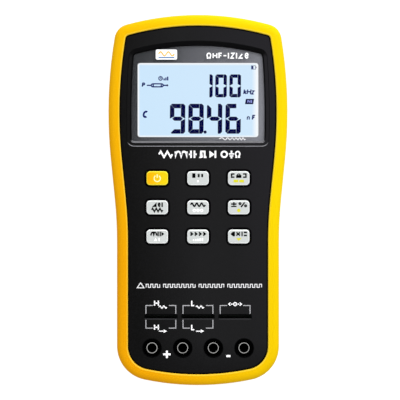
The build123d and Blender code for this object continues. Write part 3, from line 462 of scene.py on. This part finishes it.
# ---------------------------------------------------------------- flat raised marks
def arc(centre, radii, start, end, steps=14):
    """Points along an ellipse's arc; angles in degrees, anticlockwise from +X."""
    rx, ry = radii if isinstance(radii, tuple) else (radii, radii)
    angles = [math.radians(start + (end - start) * i / steps) for i in range(steps + 1)]
    return [(centre[0] + rx * math.cos(a), centre[1] + ry * math.sin(a)) for a in angles]


def rounded(centre, half, round_by, steps):
    """A rounded rectangle's outline, anticlockwise from its right-hand side."""
    rim = []
    for turn, (sx, sy) in enumerate(((1, 1), (-1, 1), (-1, -1), (1, -1))):
        pivot = (centre[0] + sx * (half[0] - round_by), centre[1] + sy * (half[1] - round_by))
        rim += arc(pivot, round_by, 90 * turn, 90 * turn + 90, steps)
    return rim


def unit(start, end):
    """The direction from start to end, one long."""
    dx, dy = end[0] - start[0], end[1] - start[1]
    length = math.hypot(dx, dy) or 1.0
    return (dx / length, dy / length)


class Print:
    """One thin raised print, built from ribbons and plates that follow a surface."""

    def __init__(self, name, material, surface, body="housing", thickness=0.03):
        self.name, self.material, self.body = name, material, body
        self.surface = surface if callable(surface) else lambda x, y: surface
        self.thickness = thickness
        self.mesh = bmesh.new()

    def vertex(self, point, lift):
        x, y = point
        return self.mesh.verts.new(Vector((x, y, self.surface(x, y) + lift)) * MM)

    def prism(self, rim):
        """A closed prism on an anticlockwise outline."""
        low = [self.vertex(p, -self.thickness) for p in rim]
        high = [self.vertex(p, self.thickness) for p in rim]
        self.mesh.faces.new(high)
        self.mesh.faces.new(low[::-1])
        for i in range(len(rim)):
            j = (i + 1) % len(rim)
            self.mesh.faces.new((low[i], low[j], high[j], high[i]))

    def plate(self, *rim):
        area = sum(a[0] * b[1] - b[0] * a[1] for a, b in zip(rim, rim[1:] + rim[:1]))
        self.prism(list(rim) if area > 0 else list(rim)[::-1])

    def bar(self, low_x, high_x, low_y, high_y):
        self.plate((low_x, low_y), (high_x, low_y), (high_x, high_y), (low_x, high_y))

    def ribbon(self, points, width, closed=False):
        """A band of even width along points, mitred at its corners."""
        count = len(points)
        left, right = [], []
        for i, point in enumerate(points):
            before = points[i - 1] if closed or i else None
            after = points[(i + 1) % count] if closed or i < count - 1 else None
            heading_in = unit(before, point) if before else unit(point, after)
            heading_out = unit(point, after) if after else heading_in
            across = Vector((-heading_in[1] - heading_out[1], heading_in[0] + heading_out[0])).normalized()
            reach = width / 2 / max(0.5, across.dot(Vector((-heading_in[1], heading_in[0]))))
            left.append((point[0] + across.x * reach, point[1] + across.y * reach))
            right.append((point[0] - across.x * reach, point[1] - across.y * reach))
        if not closed:
            self.prism(right + left[::-1])
            return
        corners = ((left, -1), (left, 1), (right, 1), (right, -1))
        rings = [[self.vertex(p, way * self.thickness) for p in side] for side, way in corners]
        for ring, following in zip(rings, rings[1:] + rings[:1]):
            for i in range(count):
                j = (i + 1) % count
                self.mesh.faces.new((ring[i], ring[j], following[j], following[i]))

    def disc(self, centre, radius, steps=20):
        self.prism(arc(centre, radius, 0, 360 - 360 / steps, steps - 1))

    def ring(self, centre, radius, width, steps=28):
        self.ribbon(arc(centre, radius, 0, 360 - 360 / steps, steps - 1), width, closed=True)

    def letters(self, text, x, y, height, stroke, slant=0.0, gap=0.22):
        """Stroke letters from a baseline point; returns where the next one would start."""
        for name in text:
            width, strokes = GLYPHS[name]
            for line in strokes:
                self.ribbon([(x + (px + py * slant) * height, y + py * height) for px, py in line], stroke)
            x += (width + gap) * height
        return x

    def done(self):
        mesh = bpy.data.meshes.new(self.name)
        bmesh.ops.recalc_face_normals(self.mesh, faces=self.mesh.faces)
        self.mesh.to_mesh(mesh)
        self.mesh.free()
        piece = bpy.data.objects.new(self.name, mesh)
        bpy.context.scene.collection.objects.link(piece)
        mesh.materials.append(self.material)
        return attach(piece, self.body)


# each symbol's width and strokes, for a height of 1
GLYPHS = {
    "H": (0.76, [[(0, 0), (0, 1)], [(0.76, 0), (0.76, 1)], [(0, 0.5), (0.76, 0.5)]]),
    "L": (0.52, [[(0, 1), (0, 0), (0.52, 0)]]),
    "F": (0.55, [[(0, 0), (0, 1), (0.55, 1)], [(0, 0.52), (0.46, 0.52)]]),
    "P": (0.56, [[(0, 0), (0, 1), (0.3, 1)] + arc((0.3, 0.76), 0.24, 90, -90) + [(0, 0.52)]]),
    "C": (0.66, [arc((0.36, 0.5), (0.36, 0.5), 52, 308, 18)]),
    "Z": (0.66, [[(0, 1), (0.66, 1), (0, 0), (0.66, 0)]]),
    "k": (0.48, [[(0, 0), (0, 1)], [(0.46, 0.68), (0.06, 0.3)], [(0.18, 0.4), (0.5, 0)]]),
    "z": (0.44, [[(0, 0.68), (0.44, 0.68), (0, 0), (0.44, 0)]]),
    "n": (0.46, [
        [(0, 0), (0, 0.7)],
        [(0, 0.46)] + arc((0.23, 0.46), (0.23, 0.24), 180, 0) + [(0.46, 0)],
    ]),
    "theta": (0.56, [arc((0.28, 0.5), (0.28, 0.5), 0, 340, 18), [(0.03, 0.5), (0.53, 0.5)]]),
    "ohm": (0.84, [
        [(0, 0), (0.24, 0)] + arc((0.42, 0.56), (0.38, 0.44), 238, -58, 18) + [(0.6, 0), (0.84, 0)],
    ]),
    "angle": (0.8, [[(0.8, 0), (0, 0), (0.66, 0.86)]]),
    "bar": (0.02, [[(0.01, -0.08), (0.01, 1.08)]]),
}


# ---------------------------------------------------------------- the front's printed marks
def wave(x, y, length, height, cycles, steps=10, squeeze=1.0):
    """A sine along X; squeeze over 1 crowds the later cycles."""
    count = int(cycles * steps)
    found = []
    for i in range(count + 1):
        part = i / count
        phase = cycles * 2 * math.pi * part**squeeze
        found.append((x + length * part, y + height / 2 * math.sin(phase)))
    return found


def coil(x, y, length, height, turns):
    """The humps of an inductor's symbol, standing on y."""
    pitch = length / turns
    points = []
    for turn in range(turns):
        centre = (x + pitch * (turn + 0.5), y)
        points += arc(centre, (pitch / 2, height), 180, 0, 8)[1 if turn else 0:]
    return points


def zigzag(x, y, length, height, teeth):
    """A resistor's symbol, with a half tooth at each end."""
    step = length / (2 * teeth)
    points = [(x, y)]
    for tooth in range(2 * teeth):
        rise = height / 2 if tooth % 2 == 0 else -height / 2
        points.append((x + step * (tooth + 0.5), y + rise))
    return points + [(x + length, y)]


def pulses(x, low, high, pitch, count):
    """A square wave that starts at x and turns up or down every pitch."""
    points = []
    for step in range(count + 1):
        ends = (low, high) if step % 2 == 0 else (high, low)
        points += [(x + step * pitch, level) for level in ends]
    return points


def draw_title():
    """Symbols in a row: resistor, coil, capacitor, pulse, diode, then source, earth and ohm."""
    y, stroke, half, over = 22.65, 0.84, 1.4, 0.4
    low, high = y - half, y + half
    title = Print("print_symbol_row", PRINT_WHITE, FACE_Z)
    resistor_x, coil_x, capacitor_x, pulse_x = -19.3, -11.2, -2.6, 0.6
    title.ribbon(zigzag(resistor_x, y, 6.6, 2 * half, 2), stroke)
    humps = coil(coil_x, low, 5.7, 2 * half, 2)
    title.ribbon([(coil_x, high)] + humps + [(coil_x + 5.7, high)], stroke)
    for side in (-1, 1):
        plate = capacitor_x + side * 0.85
        title.bar(plate - stroke / 2, plate + stroke / 2, low - stroke / 2, high + stroke / 2)
        title.ribbon([(plate, y), (plate + side * 1.1, y)], stroke)
    pulse = pulses(pulse_x + 1.0, low, high, 1.7, 1)
    title.ribbon([(pulse_x, low), (pulse_x + 1.0, low)] + pulse + [(pulse_x + 3.6, low)], stroke)

    diode_x, source_x, earth_x, ohm_x = 5.7, 13.0, 16.6, 18.5
    title.plate((diode_x, low - over), (diode_x + 2.4, y), (diode_x, high + over))
    title.bar(diode_x + 2.5, diode_x + 3.35, low - over, high + over)
    title.ring((source_x, y), half, stroke)
    title.ribbon([(earth_x, high + over), (earth_x, y + 0.2)], stroke)
    for row, reach in ((0.2, 1.35), (-0.85, 0.9), (-1.7, 0.45)):
        title.bar(earth_x - reach, earth_x + reach, y + row - 0.3, y + row + 0.3)
    title.letters(("ohm",), ohm_x, low, 2 * half, stroke * 0.8)
    title.done()


def draw_quantities():
    """Units and a phasor's magnitude and angle, at the window's upper right."""
    marks = Print("print_quantities", PRINT_WHITE, LENS_Z)
    x, y, height, stroke = 4.4, 70.4, 2.4, 0.62
    x = marks.letters(("ohm", "H", "F"), x, y, height, stroke, gap=0.46)
    middle, dash = y + height / 2, 0.3
    marks.bar(x - 0.2, x + 1.2, middle - dash, middle + dash)
    marks.letters(("bar", "Z", "bar", "angle", "theta"), x + 2.2, y, height, stroke, gap=0.5)
    marks.done()


def draw_badge():
    """A plain badge with a sine over a rule, at the window's upper left."""
    x, y, reach, lift = -15.65, 72.15, 3.9, 0.04
    badge = Print("badge_plate", PRINT_WHITE, LENS_Z)
    badge.plate(*rounded((x, y), (5.3, 2.5), 0.7, 5))
    badge.done()
    sine = Print("badge_sine", PRINT_AMBER, LENS_Z + lift)
    sine.ribbon(wave(x - reach, y + 0.35, 2 * reach, 2.0, 2, 12), 0.6)
    sine.done()
    rule = Print("badge_rule", PRINT_BLUE, LENS_Z + lift)
    rule.bar(x - reach, x + reach, y - 1.75, y - 1.25)
    rule.done()


def draw_sweep():
    """A wave that quickens to the right: the range of test frequencies."""
    sweep = Print("print_sweep", PRINT_PALE, LENS_Z)
    sweep.ribbon(wave(10.5, 30.35, 13.0, 1.1, cycles=6, steps=12, squeeze=1.4), 0.36)
    sweep.done()


def draw_pulse_rule():
    """An outlined triangle and a broken train of pulses above the terminals."""
    rule = Print("print_pulse_rule", PRINT_PALE, FACE_Z)
    triangle = [(-30.15, -43.5), (-26.75, -43.5), (-28.45, -41.05)]
    rule.ribbon(triangle, 0.45, closed=True)
    x, pitch, space = -25.7, 1.12, 1.9
    for count in (6, 14, 11, 15):
        rule.ribbon(pulses(x, -43.3, -41.75, pitch, count), 0.37)
        x += pitch * count + space
    rule.done()


def draw_brackets():
    """Lines that tie each slot to its label, and the labels themselves."""
    lines = Print("print_brackets", PRINT_GREY, FACE_Z)
    marks = Print("print_terminal_labels", PRINT_WHITE, FACE_Z)
    width, half, row_reach, foot_reach, label = 0.44, 7.4, 5.6, 1.5, 3.95
    for name, slot in SLOTS.items():
        for way in (1, -1) if name != "guard" else (1,):
            row, foot = slot.y + way * row_reach, slot.y + way * foot_reach
            for side in (-1, 1):
                edge = slot.x + side * half
                lines.ribbon([(edge, foot), (edge, row), (slot.x + side * label, row)], width)
            if name == "guard":
                draw_guard_mark(marks, slot.x, row + 0.7)
            else:
                draw_terminal_label(marks, name[0].upper(), slot.x, row, driving=way < 0)
    lines.done()
    marks.done()


def draw_terminal_label(marks, letter, x, row, driving):
    """H or L, with a small wave for the sensing pair and a small arrow for the driving pair."""
    low = row - (0.75 if driving else 0.0)
    marks.letters((letter,), x - 3.1, low - 0.05, 2.45, 0.6)
    start, low = x - 0.95, low - 0.75
    if driving:
        marks.bar(start, start + 2.6, low - 0.24, low + 0.24)
        marks.plate((start + 2.3, low + 0.85), (start + 2.3, low - 0.85), (start + 4.0, low))
    else:
        marks.ribbon(wave(start, low, 3.9, 1.2, 2), 0.44)


def draw_guard_mark(marks, x, y):
    """A screened conductor: a dot in a ring, with leads."""
    marks.ring((x, y), 0.8, 0.42, 18)
    marks.disc((x, y), 0.26, 10)
    for side in (-1, 1):
        marks.ribbon([(x + side * 1.2, y), (x + side * 2.1, y)], 0.5)
        marks.ribbon([(x + side * 2.3, y - 0.75), (x + side * 3.2, y), (x + side * 2.3, y + 0.75)], 0.45)


def draw_polarity():
    """A plus between the left pair of sockets and a minus between the right pair."""
    signs = Print("print_polarity", PRINT_WHITE, FACE_Z)
    plus, minus, reach, half = (-15.4, -76.5), (15.05, -77.35), 1.82, 0.48
    signs.bar(plus[0] - reach, plus[0] + reach, plus[1] - half, plus[1] + half)
    for way in (-1, 1):
        ends = sorted((plus[1] + way * half, plus[1] + way * reach))
        signs.bar(plus[0] - half, plus[0] + half, *ends)
    minus_reach = 1.05
    signs.bar(minus[0] - minus_reach, minus[0] + minus_reach, minus[1] - half, minus[1] + half)
    signs.done()


# ---------------------------------------------------------------- the display
# the segments of each figure, lettered clockwise from the top, with g across the middle
SEGMENTS = {"0": "abcdef", "1": "bc", "4": "bcfg", "6": "acdefg", "8": "abcdefg", "9": "abcdfg"}


def segment_shapes(width, height, stroke):
    """Outlines of the seven segments, with hairlines between them and cut outer corners."""
    hair, cut, mid = 0.05, stroke * 0.42, height / 2
    inner, nib = width - stroke, stroke * 0.5

    def mirrored(rim):
        return [(x, height - y) for x, y in rim]

    low_left = [(stroke, stroke + hair), (cut / 2, cut / 2 + hair), (0, cut + hair), (0, mid - hair),
                (stroke, mid - nib - hair)]
    low_right = [(inner + hair, 0), (width - cut, 0), (width, cut), (width, mid - hair),
                 (inner + hair, mid - nib - hair)]
    foot = [(cut + hair, 0), (cut / 2 + hair, cut / 2), (stroke + hair, stroke), (inner - hair, stroke),
            (inner - hair, 0)]
    half = stroke * 0.46
    middle = [(nib + hair, mid), (stroke + hair, mid + half), (inner - hair, mid + half),
              (width - nib - hair, mid), (inner - hair, mid - half), (stroke + hair, mid - half)]
    return {
        "a": mirrored(foot), "b": mirrored(low_right), "c": low_right, "d": foot,
        "e": low_left, "f": mirrored(low_left), "g": middle,
    }


def draw_number(ink_print, digits, places, y, width, height, stroke, slant=0.01):
    """Digits whose lower left corners stand at the places along X."""
    shapes = segment_shapes(width, height, stroke)
    for digit, x in zip(digits, places):
        for name in SEGMENTS[digit]:
            ink_print.plate(*[(x + px + py * slant, y + py) for px, py in shapes[name]])


def draw_display():
    surface = GLASS_Z + 0.03
    numbers = Print("display_digits", SEGMENT, surface)
    draw_number(numbers, "100", [1.55, 8.55, 15.6], 51.15, 5.75, 11.45, 1.7)
    draw_number(numbers, "9846", [-14.1, -4.9, 4.35, 13.6], 33.05, 7.65, 14.9, 2.22)
    numbers.disc((3.55, 33.85), 0.8, 12)
    numbers.done()

    units = Print("display_units", SEGMENT_SOFT, surface)
    units.letters("kHz", 22.85, 52.85, 2.2, 0.62, slant=0.14, gap=0.26)
    units.letters("C", -27.3, 41.35, 2.7, 0.95, slant=0.16)
    units.letters("F", 27.1, 40.15, 1.95, 0.66, slant=0.14)
    units.done()

    soft = Print("display_annunciators", SEGMENT_SOFT, surface)
    soft.letters("n", 24.5, 40.05, 2.1, 0.5, slant=0.12)
    soft.letters("P", -27.75, 56.5, 1.75, 0.62, slant=0.14)
    draw_resistor_mark(soft, -20.3, 57.15)
    draw_clock(soft, (-18.65, 60.6), 0.9)
    for step in range(3):
        left = -17.2 + step * 0.88
        soft.bar(left, left + 0.65, 59.6, 60.6 + step * 0.45)
    draw_battery_mark(soft, 26.6, 65.2)
    soft.done()
    draw_tag(surface)


def draw_battery_mark(ink_print, x, y):
    """A cell's outline with its nub, part filled; x and y are its lower left corner."""
    width, height = 2.1, 1.7
    outline = [(x, y), (x + width, y), (x + width, y + height), (x, y + height)]
    ink_print.ribbon(outline, 0.22, closed=True)
    ink_print.bar(x + width + 0.15, x + width + 0.45, y + 0.5, y + 1.2)
    ink_print.bar(x + 0.15, x + 1.0, y + 0.15, y + height - 0.15)


def draw_resistor_mark(ink_print, x, y):
    """A film resistor's outline with its leads."""
    reach, round_by, stroke = 2.2, 0.75, 0.62
    ends = arc((x - reach, y), round_by, 90, 270, 8) + arc((x + reach, y), round_by, -90, 90, 8)
    ink_print.ribbon(ends, stroke, closed=True)
    for side in (-1, 1):
        ink_print.ribbon([(x + side * 3.2, y), (x + side * 5.2, y)], stroke)
        ink_print.bar(x + side * 2.0 - 0.3, x + side * 2.0 + 0.3, y - 0.55, y + 0.55)
    ink_print.disc((x + 5.0, y), 0.5, 10)


def draw_clock(ink_print, centre, radius):
    """A clock's face at three o'clock."""
    hour = (centre[0] + radius * 0.5, centre[1])
    minute = (centre[0], centre[1] + radius * 0.6)
    ink_print.ring(centre, radius, 0.5, 18)
    ink_print.ribbon([minute, centre, hour], 0.4)


def draw_tag(surface):
    """A dark tag with a pale mark in it, under the frequency's unit."""
    tag = Print("display_tag", SEGMENT, surface)
    tag.plate((23.4, 47.75), (27.5, 47.75), (27.95, 50.4), (23.85, 50.4))
    tag.done()
    mark = Print("display_tag_mark", PRINT_TAG, surface + 0.03)
    mark.ribbon([(24.75, 48.5), (24.9, 49.7), (25.9, 48.6), (26.05, 49.7)], 0.32)
    mark.bar(26.5, 26.9, 48.45, 49.75)
    mark.done()


# ---------------------------------------------------------------- the keys' marks
def key_print(name, kind, material):
    """A print on that key's dished top, and the key's middle."""
    low, high = box_mm("key_" + name)
    x, y = (low.x + high.x) / 2, (low.y + high.y) / 2

    def dished(_, py):
        return high.z - KEY_DISH_FALL + (py - y) ** 2 / (2 * KEY_DISH_R)

    return Print(f"{kind}_{name}", material, dished, "key_" + name, 0.02), x, y


def draw_key_shade_frames():
    """A fine black frame round each key's opening, painted shade round the key's gap; a key's box is that
    of the flange under the face.
    """
    shade_frames = Print("key_shade_frames", PRINT_BLACK, FACE_Z)
    inset, corner, width = 0.32, 2.55, 0.56
    for name in KEYS:
        low, high = box_mm("key_" + name)
        middle, half = (low + high) / 2, (high - low) / 2
        rim = rounded(middle, (half.x - inset, half.y - inset), corner, 6)
        # painted shade round the opening
        shade_frames.ribbon(rim, width, closed=True)
    shade_frames.done()


BOLD = 0.72             # the icons' usual line
ROW = 1.28              # how far above the key's middle an icon stands
TALL = 1.15             # half an icon's height
HALF = TALL - BOLD / 2  # the same, to the middle of its line
SECOND = (-2.2, -0.7)   # a second mark's lower and upper edges, from the key's middle


def draw_power_mark():
    """The usual ring with a bar in its gap."""
    mark, x, y = key_print("power", "icon", PRINT_CREAM)
    gap, stem = 35, 0.27
    mark.ribbon(arc((x, y - 0.1), 1.55, 90 + gap, 450 - gap, 26), 0.5)
    mark.bar(x - stem, x + stem, y + 0.1, y + 1.95)
    mark.done()


def draw_remote_mark():
    """A block that sends out waves, over a dot."""
    mark, x, y = key_print("remote", "icon", PRINT_BLACK)
    row = y + ROW
    mark.bar(x - 2.85, x - 1.25, row - TALL, row + TALL)
    for radius in (1.45, 3.15):
        spread = math.degrees(math.asin(HALF / radius))
        mark.ribbon(arc((x - 1.05, row), radius, -spread, spread, 6), 0.95)
    mark.done()
    dot, x, y = key_print("remote", "second", PRINT_WHITE)
    dot.disc((x, y - 1.55), 0.5)
    dot.done()


def draw_hold_mark():
    """A lock in brackets, over two bars."""
    mark, x, y = key_print("hold", "icon", PRINT_BLACK)
    row = y + ROW
    mark.bar(x - 1.3, x + 1.3, row - TALL, row + 0.25)
    mark.ribbon(arc((x, row + 0.2), 0.66, 0, 180, 8), 0.46)
    for side in (-1, 1):
        ends = [(x + side * 2.1, row + HALF), (x + side * 3.55, row + HALF)]
        mark.ribbon(ends + [(px, 2 * row - py) for px, py in ends[::-1]], BOLD)
    mark.done()
    second, x, y = key_print("hold", "second", PRINT_LIME)
    for centre in (x - 1.4, x + 1.4):
        second.bar(centre - 1.15, centre + 1.15, y - 2.1, y - 0.75)
    second.done()


def draw_loss_mark():
    """A loss angle over a resistor."""
    mark, x, y = key_print("loss_factor", "icon", PRINT_BLACK)
    row, second_row, reach = y + 1.3, y - 1.3, 2.75
    mark.plate((x - 2.7, row - TALL), (x - 0.3, row - TALL), (x - 0.3, row + TALL))
    mark.letters(("theta",), x + 0.55, row - HALF, 2 * HALF, 0.62)
    mark.bar(x + 2.1, x + 2.8, row - TALL, row + TALL)
    mark.ribbon(zigzag(x - reach, second_row, 2 * reach, 2 * HALF, 3), BOLD)
    mark.done()


def draw_frequency_mark():
    """A wave over three rings."""
    mark, x, y = key_print("frequency", "icon", PRINT_BLACK)
    reach = 3.6
    mark.ribbon(wave(x - reach, y + ROW, 2 * reach, 2 * HALF, 3), 0.76)
    mark.done()
    second, x, y = key_print("frequency", "second", PRINT_WHITE)
    for step in (-1, 0, 1):
        second.ring((x + step * 1.85, y - 1.5), 0.58, 0.42, 14)
    second.done()


def draw_tolerance_mark():
    """Plus-minus and percent, over a dot."""
    mark, x, y = key_print("tolerance", "icon", PRINT_BLACK)
    row = y + ROW
    left, right = x - 3.8, x - 1.1
    mark.bar(left, right, row, row + BOLD)
    mark.bar(left + 1.0, right - 1.0, row + BOLD, row + 1.35)
    mark.bar(left + 1.0, right - 1.0, row - 0.35, row)
    mark.bar(left, right, row - TALL, row - 0.5)
    for side in (-1, 1):
        mark.ring((x + 2.0 + side * 1.4, row - side * 0.55), 0.45, 0.62, 14)
    mark.ribbon([(x + 1.1, row - TALL), (x + 2.9, row + TALL)], BOLD)
    mark.done()
    second, x, y = key_print("tolerance", "second", PRINT_LIME)
    second.disc((x, y - 1.5), 0.85)
    second.done()


def draw_function_mark():
    """A coil, a capacitor and a pointer, over a triangle and a bar."""
    mark, x, y = key_print("function", "icon", PRINT_BLACK)
    row = y + ROW
    mark.ribbon(coil(x - 3.1, row - HALF, 2.8, 2 * HALF, 2), 0.7)
    for plate in (x + 0.45, x + 1.5):
        mark.bar(plate - 0.34, plate + 0.34, row - TALL, row + TALL)
    mark.plate((x + 2.1, row - TALL), (x + 3.5, row), (x + 2.1, row + TALL))
    mark.done()
    second, x, y = key_print("function", "second", PRINT_WHITE)
    low, high = (y + part for part in SECOND)
    second.plate((x - 1.6, low), (x, low), (x - 0.8, high))
    second.bar(x + 0.7, x + 1.2, low, high)
    second.done()


def draw_speed_mark():
    """Four chevrons over five rising bars."""
    mark, x, y = key_print("speed", "icon", PRINT_BLACK)
    row = y + ROW
    for step in range(4):
        start = x - 3.75 + step * 2.1
        mark.ribbon([(start, row - HALF), (start + 1.0, row), (start, row + HALF)], 0.82)
    mark.done()
    second, x, y = key_print("speed", "second", PRINT_WHITE)
    for step in range(5):
        left = x - 2.55 + step * 1.1
        second.bar(left, left + 0.7, y + SECOND[0], y - 1.45 + 0.18 * step)
    second.done()


def draw_clear_mark():
    """An erase mark, a cross, a bar and two dashes, over a triangle."""
    mark, x, y = key_print("clear", "icon", PRINT_BLACK)
    row = y + ROW
    point, shoulder, back = x - 4.1, x - 2.9, x - 1.9
    mark.plate((point, row), (shoulder, row - TALL), (back, row - TALL), (back, row + TALL),
               (shoulder, row + TALL))
    for side in (-1, 1):
        mark.ribbon([(x - 1.2, row - side * HALF), (x + 0.6, row + side * HALF)], BOLD)
    mark.bar(x + 1.3, x + 1.95, row - TALL, row + TALL)
    mark.bar(x + 2.5, x + 4.1, row - TALL, row - 0.35)
    mark.bar(x + 2.5, x + 4.1, row + 0.35, row + TALL)
    mark.done()
    second, x, y = key_print("clear", "second", PRINT_LIME)
    second.plate((x - 1.4, y - 0.75), (x, y + SECOND[0]), (x + 1.4, y - 0.75))
    second.done()


# ---------------------------------------------------------------- the back
def draw_back_marks():
    """A blank rating plate with rules and a double square, above the stand."""
    stand_end = box_mm("tilt_stand")[1].y
    y_low, y_high, half = stand_end + 8.0, stand_end + 26.0, 21.0
    plate = Print("rating_plate", RATING_PLATE, BACK_Z, thickness=0.06)
    plate.bar(-half, half, y_low, y_high)
    plate.done()
    rules = Print("rating_plate_rules", PRINT_GREY, BACK_Z - 0.08, thickness=0.02)
    pitch, thick = 3.6, 0.4
    for row in range(4):
        top = y_high - 4.0 - row * pitch
        right = half - 15.0 - 3.0 * (row % 2)
        rules.bar(-half + 2.5, right, top - thick, top)
    x, y = half - 7.0, (y_low + y_high) / 2
    for size in (3.2, 1.7):
        rim = [(x - size, y - size), (x + size, y - size), (x + size, y + size), (x - size, y + size)]
        rules.ribbon(rim, thick, closed=True)
    rules.done()


# ---------------------------------------------------------------- studio
def area_light(name, place, size, power):
    """A square light that faces the meter; metres and watts."""
    data = bpy.data.lights.new(name, "AREA")
    data.shape = "SQUARE"
    data.size, data.energy = size, power
    light = bpy.data.objects.new(name, data)
    light.location = place
    light.rotation_euler = (-Vector(place)).to_track_quat("-Z", "Y").to_euler()
    bpy.context.scene.collection.objects.link(light)


def floor_finish():
    """White paper that glows seen from above, and is clear from below, so that the back can be seen."""
    finish = Finish("floor_paper", (0.35, 0.35, 0.35), 0.8, specular=0.0)
    finish.set("Emission Color", (1.0, 1.0, 1.0, 1.0))
    finish.set("Emission Strength", 0.8)
    below = finish.add("ShaderNodeNewGeometry").outputs["Backfacing"]
    clear = finish.add("ShaderNodeBsdfTransparent")
    both = finish.add("ShaderNodeMixShader")
    finish.join(below, both.inputs["Fac"])
    finish.join(finish.shader.outputs["BSDF"], both.inputs[1])
    finish.join(clear.outputs["BSDF"], both.inputs[2])
    return finish.show(both.outputs["Shader"])


def build_floor():
    """A plain floor under the meter, seen only by the camera, so that it doesn't light the sides."""
    reach = 3.0  # metres
    mesh = bpy.data.meshes.new("floor")
    shape = bmesh.new()
    corners = ((-reach, -reach), (reach, -reach), (reach, reach), (-reach, reach))
    shape.faces.new([shape.verts.new((x, y, 0)) for x, y in corners])
    shape.to_mesh(mesh)
    shape.free()
    floor = bpy.data.objects.new("floor", mesh)
    bpy.context.scene.collection.objects.link(floor)
    mesh.materials.append(floor_finish())
    floor.visible_diffuse = floor.visible_glossy = floor.visible_shadow = False


def build_sky():
    """Soft light from all round, brightest beyond the display end and dimmest behind the grip."""
    world = bpy.data.worlds.new("studio")
    bpy.context.scene.world = world
    world.use_nodes = True
    tree = world.node_tree
    towards = tree.nodes.new("ShaderNodeVectorMath")
    towards.operation = "DOT_PRODUCT"
    towards.inputs[1].default_value = (0.35, 0.9, -0.1)
    tree.links.new(tree.nodes.new("ShaderNodeTexCoord").outputs["Generated"], towards.inputs[0])
    strength = tree.nodes.new("ShaderNodeMapRange")
    for key, value in (("From Min", -0.4), ("From Max", 0.9), ("To Min", 0.6), ("To Max", 1.3)):
        strength.inputs[key].default_value = value
    tree.links.new(towards.outputs["Value"], strength.inputs["Value"])
    tree.links.new(strength.outputs["Result"], tree.nodes["Background"].inputs["Strength"])
    tree.nodes["Background"].inputs["Color"].default_value = (1, 1, 1, 1)


def build_studio():
    scene = bpy.context.scene
    scene.view_settings.view_transform = "Standard"
    build_sky()
    area_light("key_light", (0.55, 0.6, 0.85), size=0.5, power=7.0)
    area_light("fill_light", (-0.7, 0.1, 0.8), size=0.8, power=2.8)
    area_light("front_light", (0.1, -1.1, 0.4), size=0.8, power=2.6)
    area_light("end_light", (0.25, 1.3, 0.25), size=0.3, power=3.0)
    build_floor()

    camera_data = bpy.data.cameras.new("camera")
    camera_data.lens = 150.0
    camera = bpy.data.objects.new("camera", camera_data)
    view_width, level = 198.9 * MM, cad_box[1].z - 3.5 * MM  # what the picture spans, and at what height
    distance = view_width * camera_data.lens / camera_data.sensor_width
    camera.location = (1.0 * MM, 0, level + distance)
    scene.collection.objects.link(camera)
    scene.camera = camera


dress_nodes()
draw_title()
draw_quantities()
draw_badge()
draw_sweep()
draw_pulse_rule()
draw_brackets()
draw_polarity()
draw_display()
# painted shade round the keys' openings
draw_key_shade_frames()
draw_power_mark()
draw_remote_mark()
draw_hold_mark()
draw_loss_mark()
draw_frequency_mark()
draw_tolerance_mark()
draw_function_mark()
draw_speed_mark()
draw_clear_mark()
draw_back_marks()
build_studio()
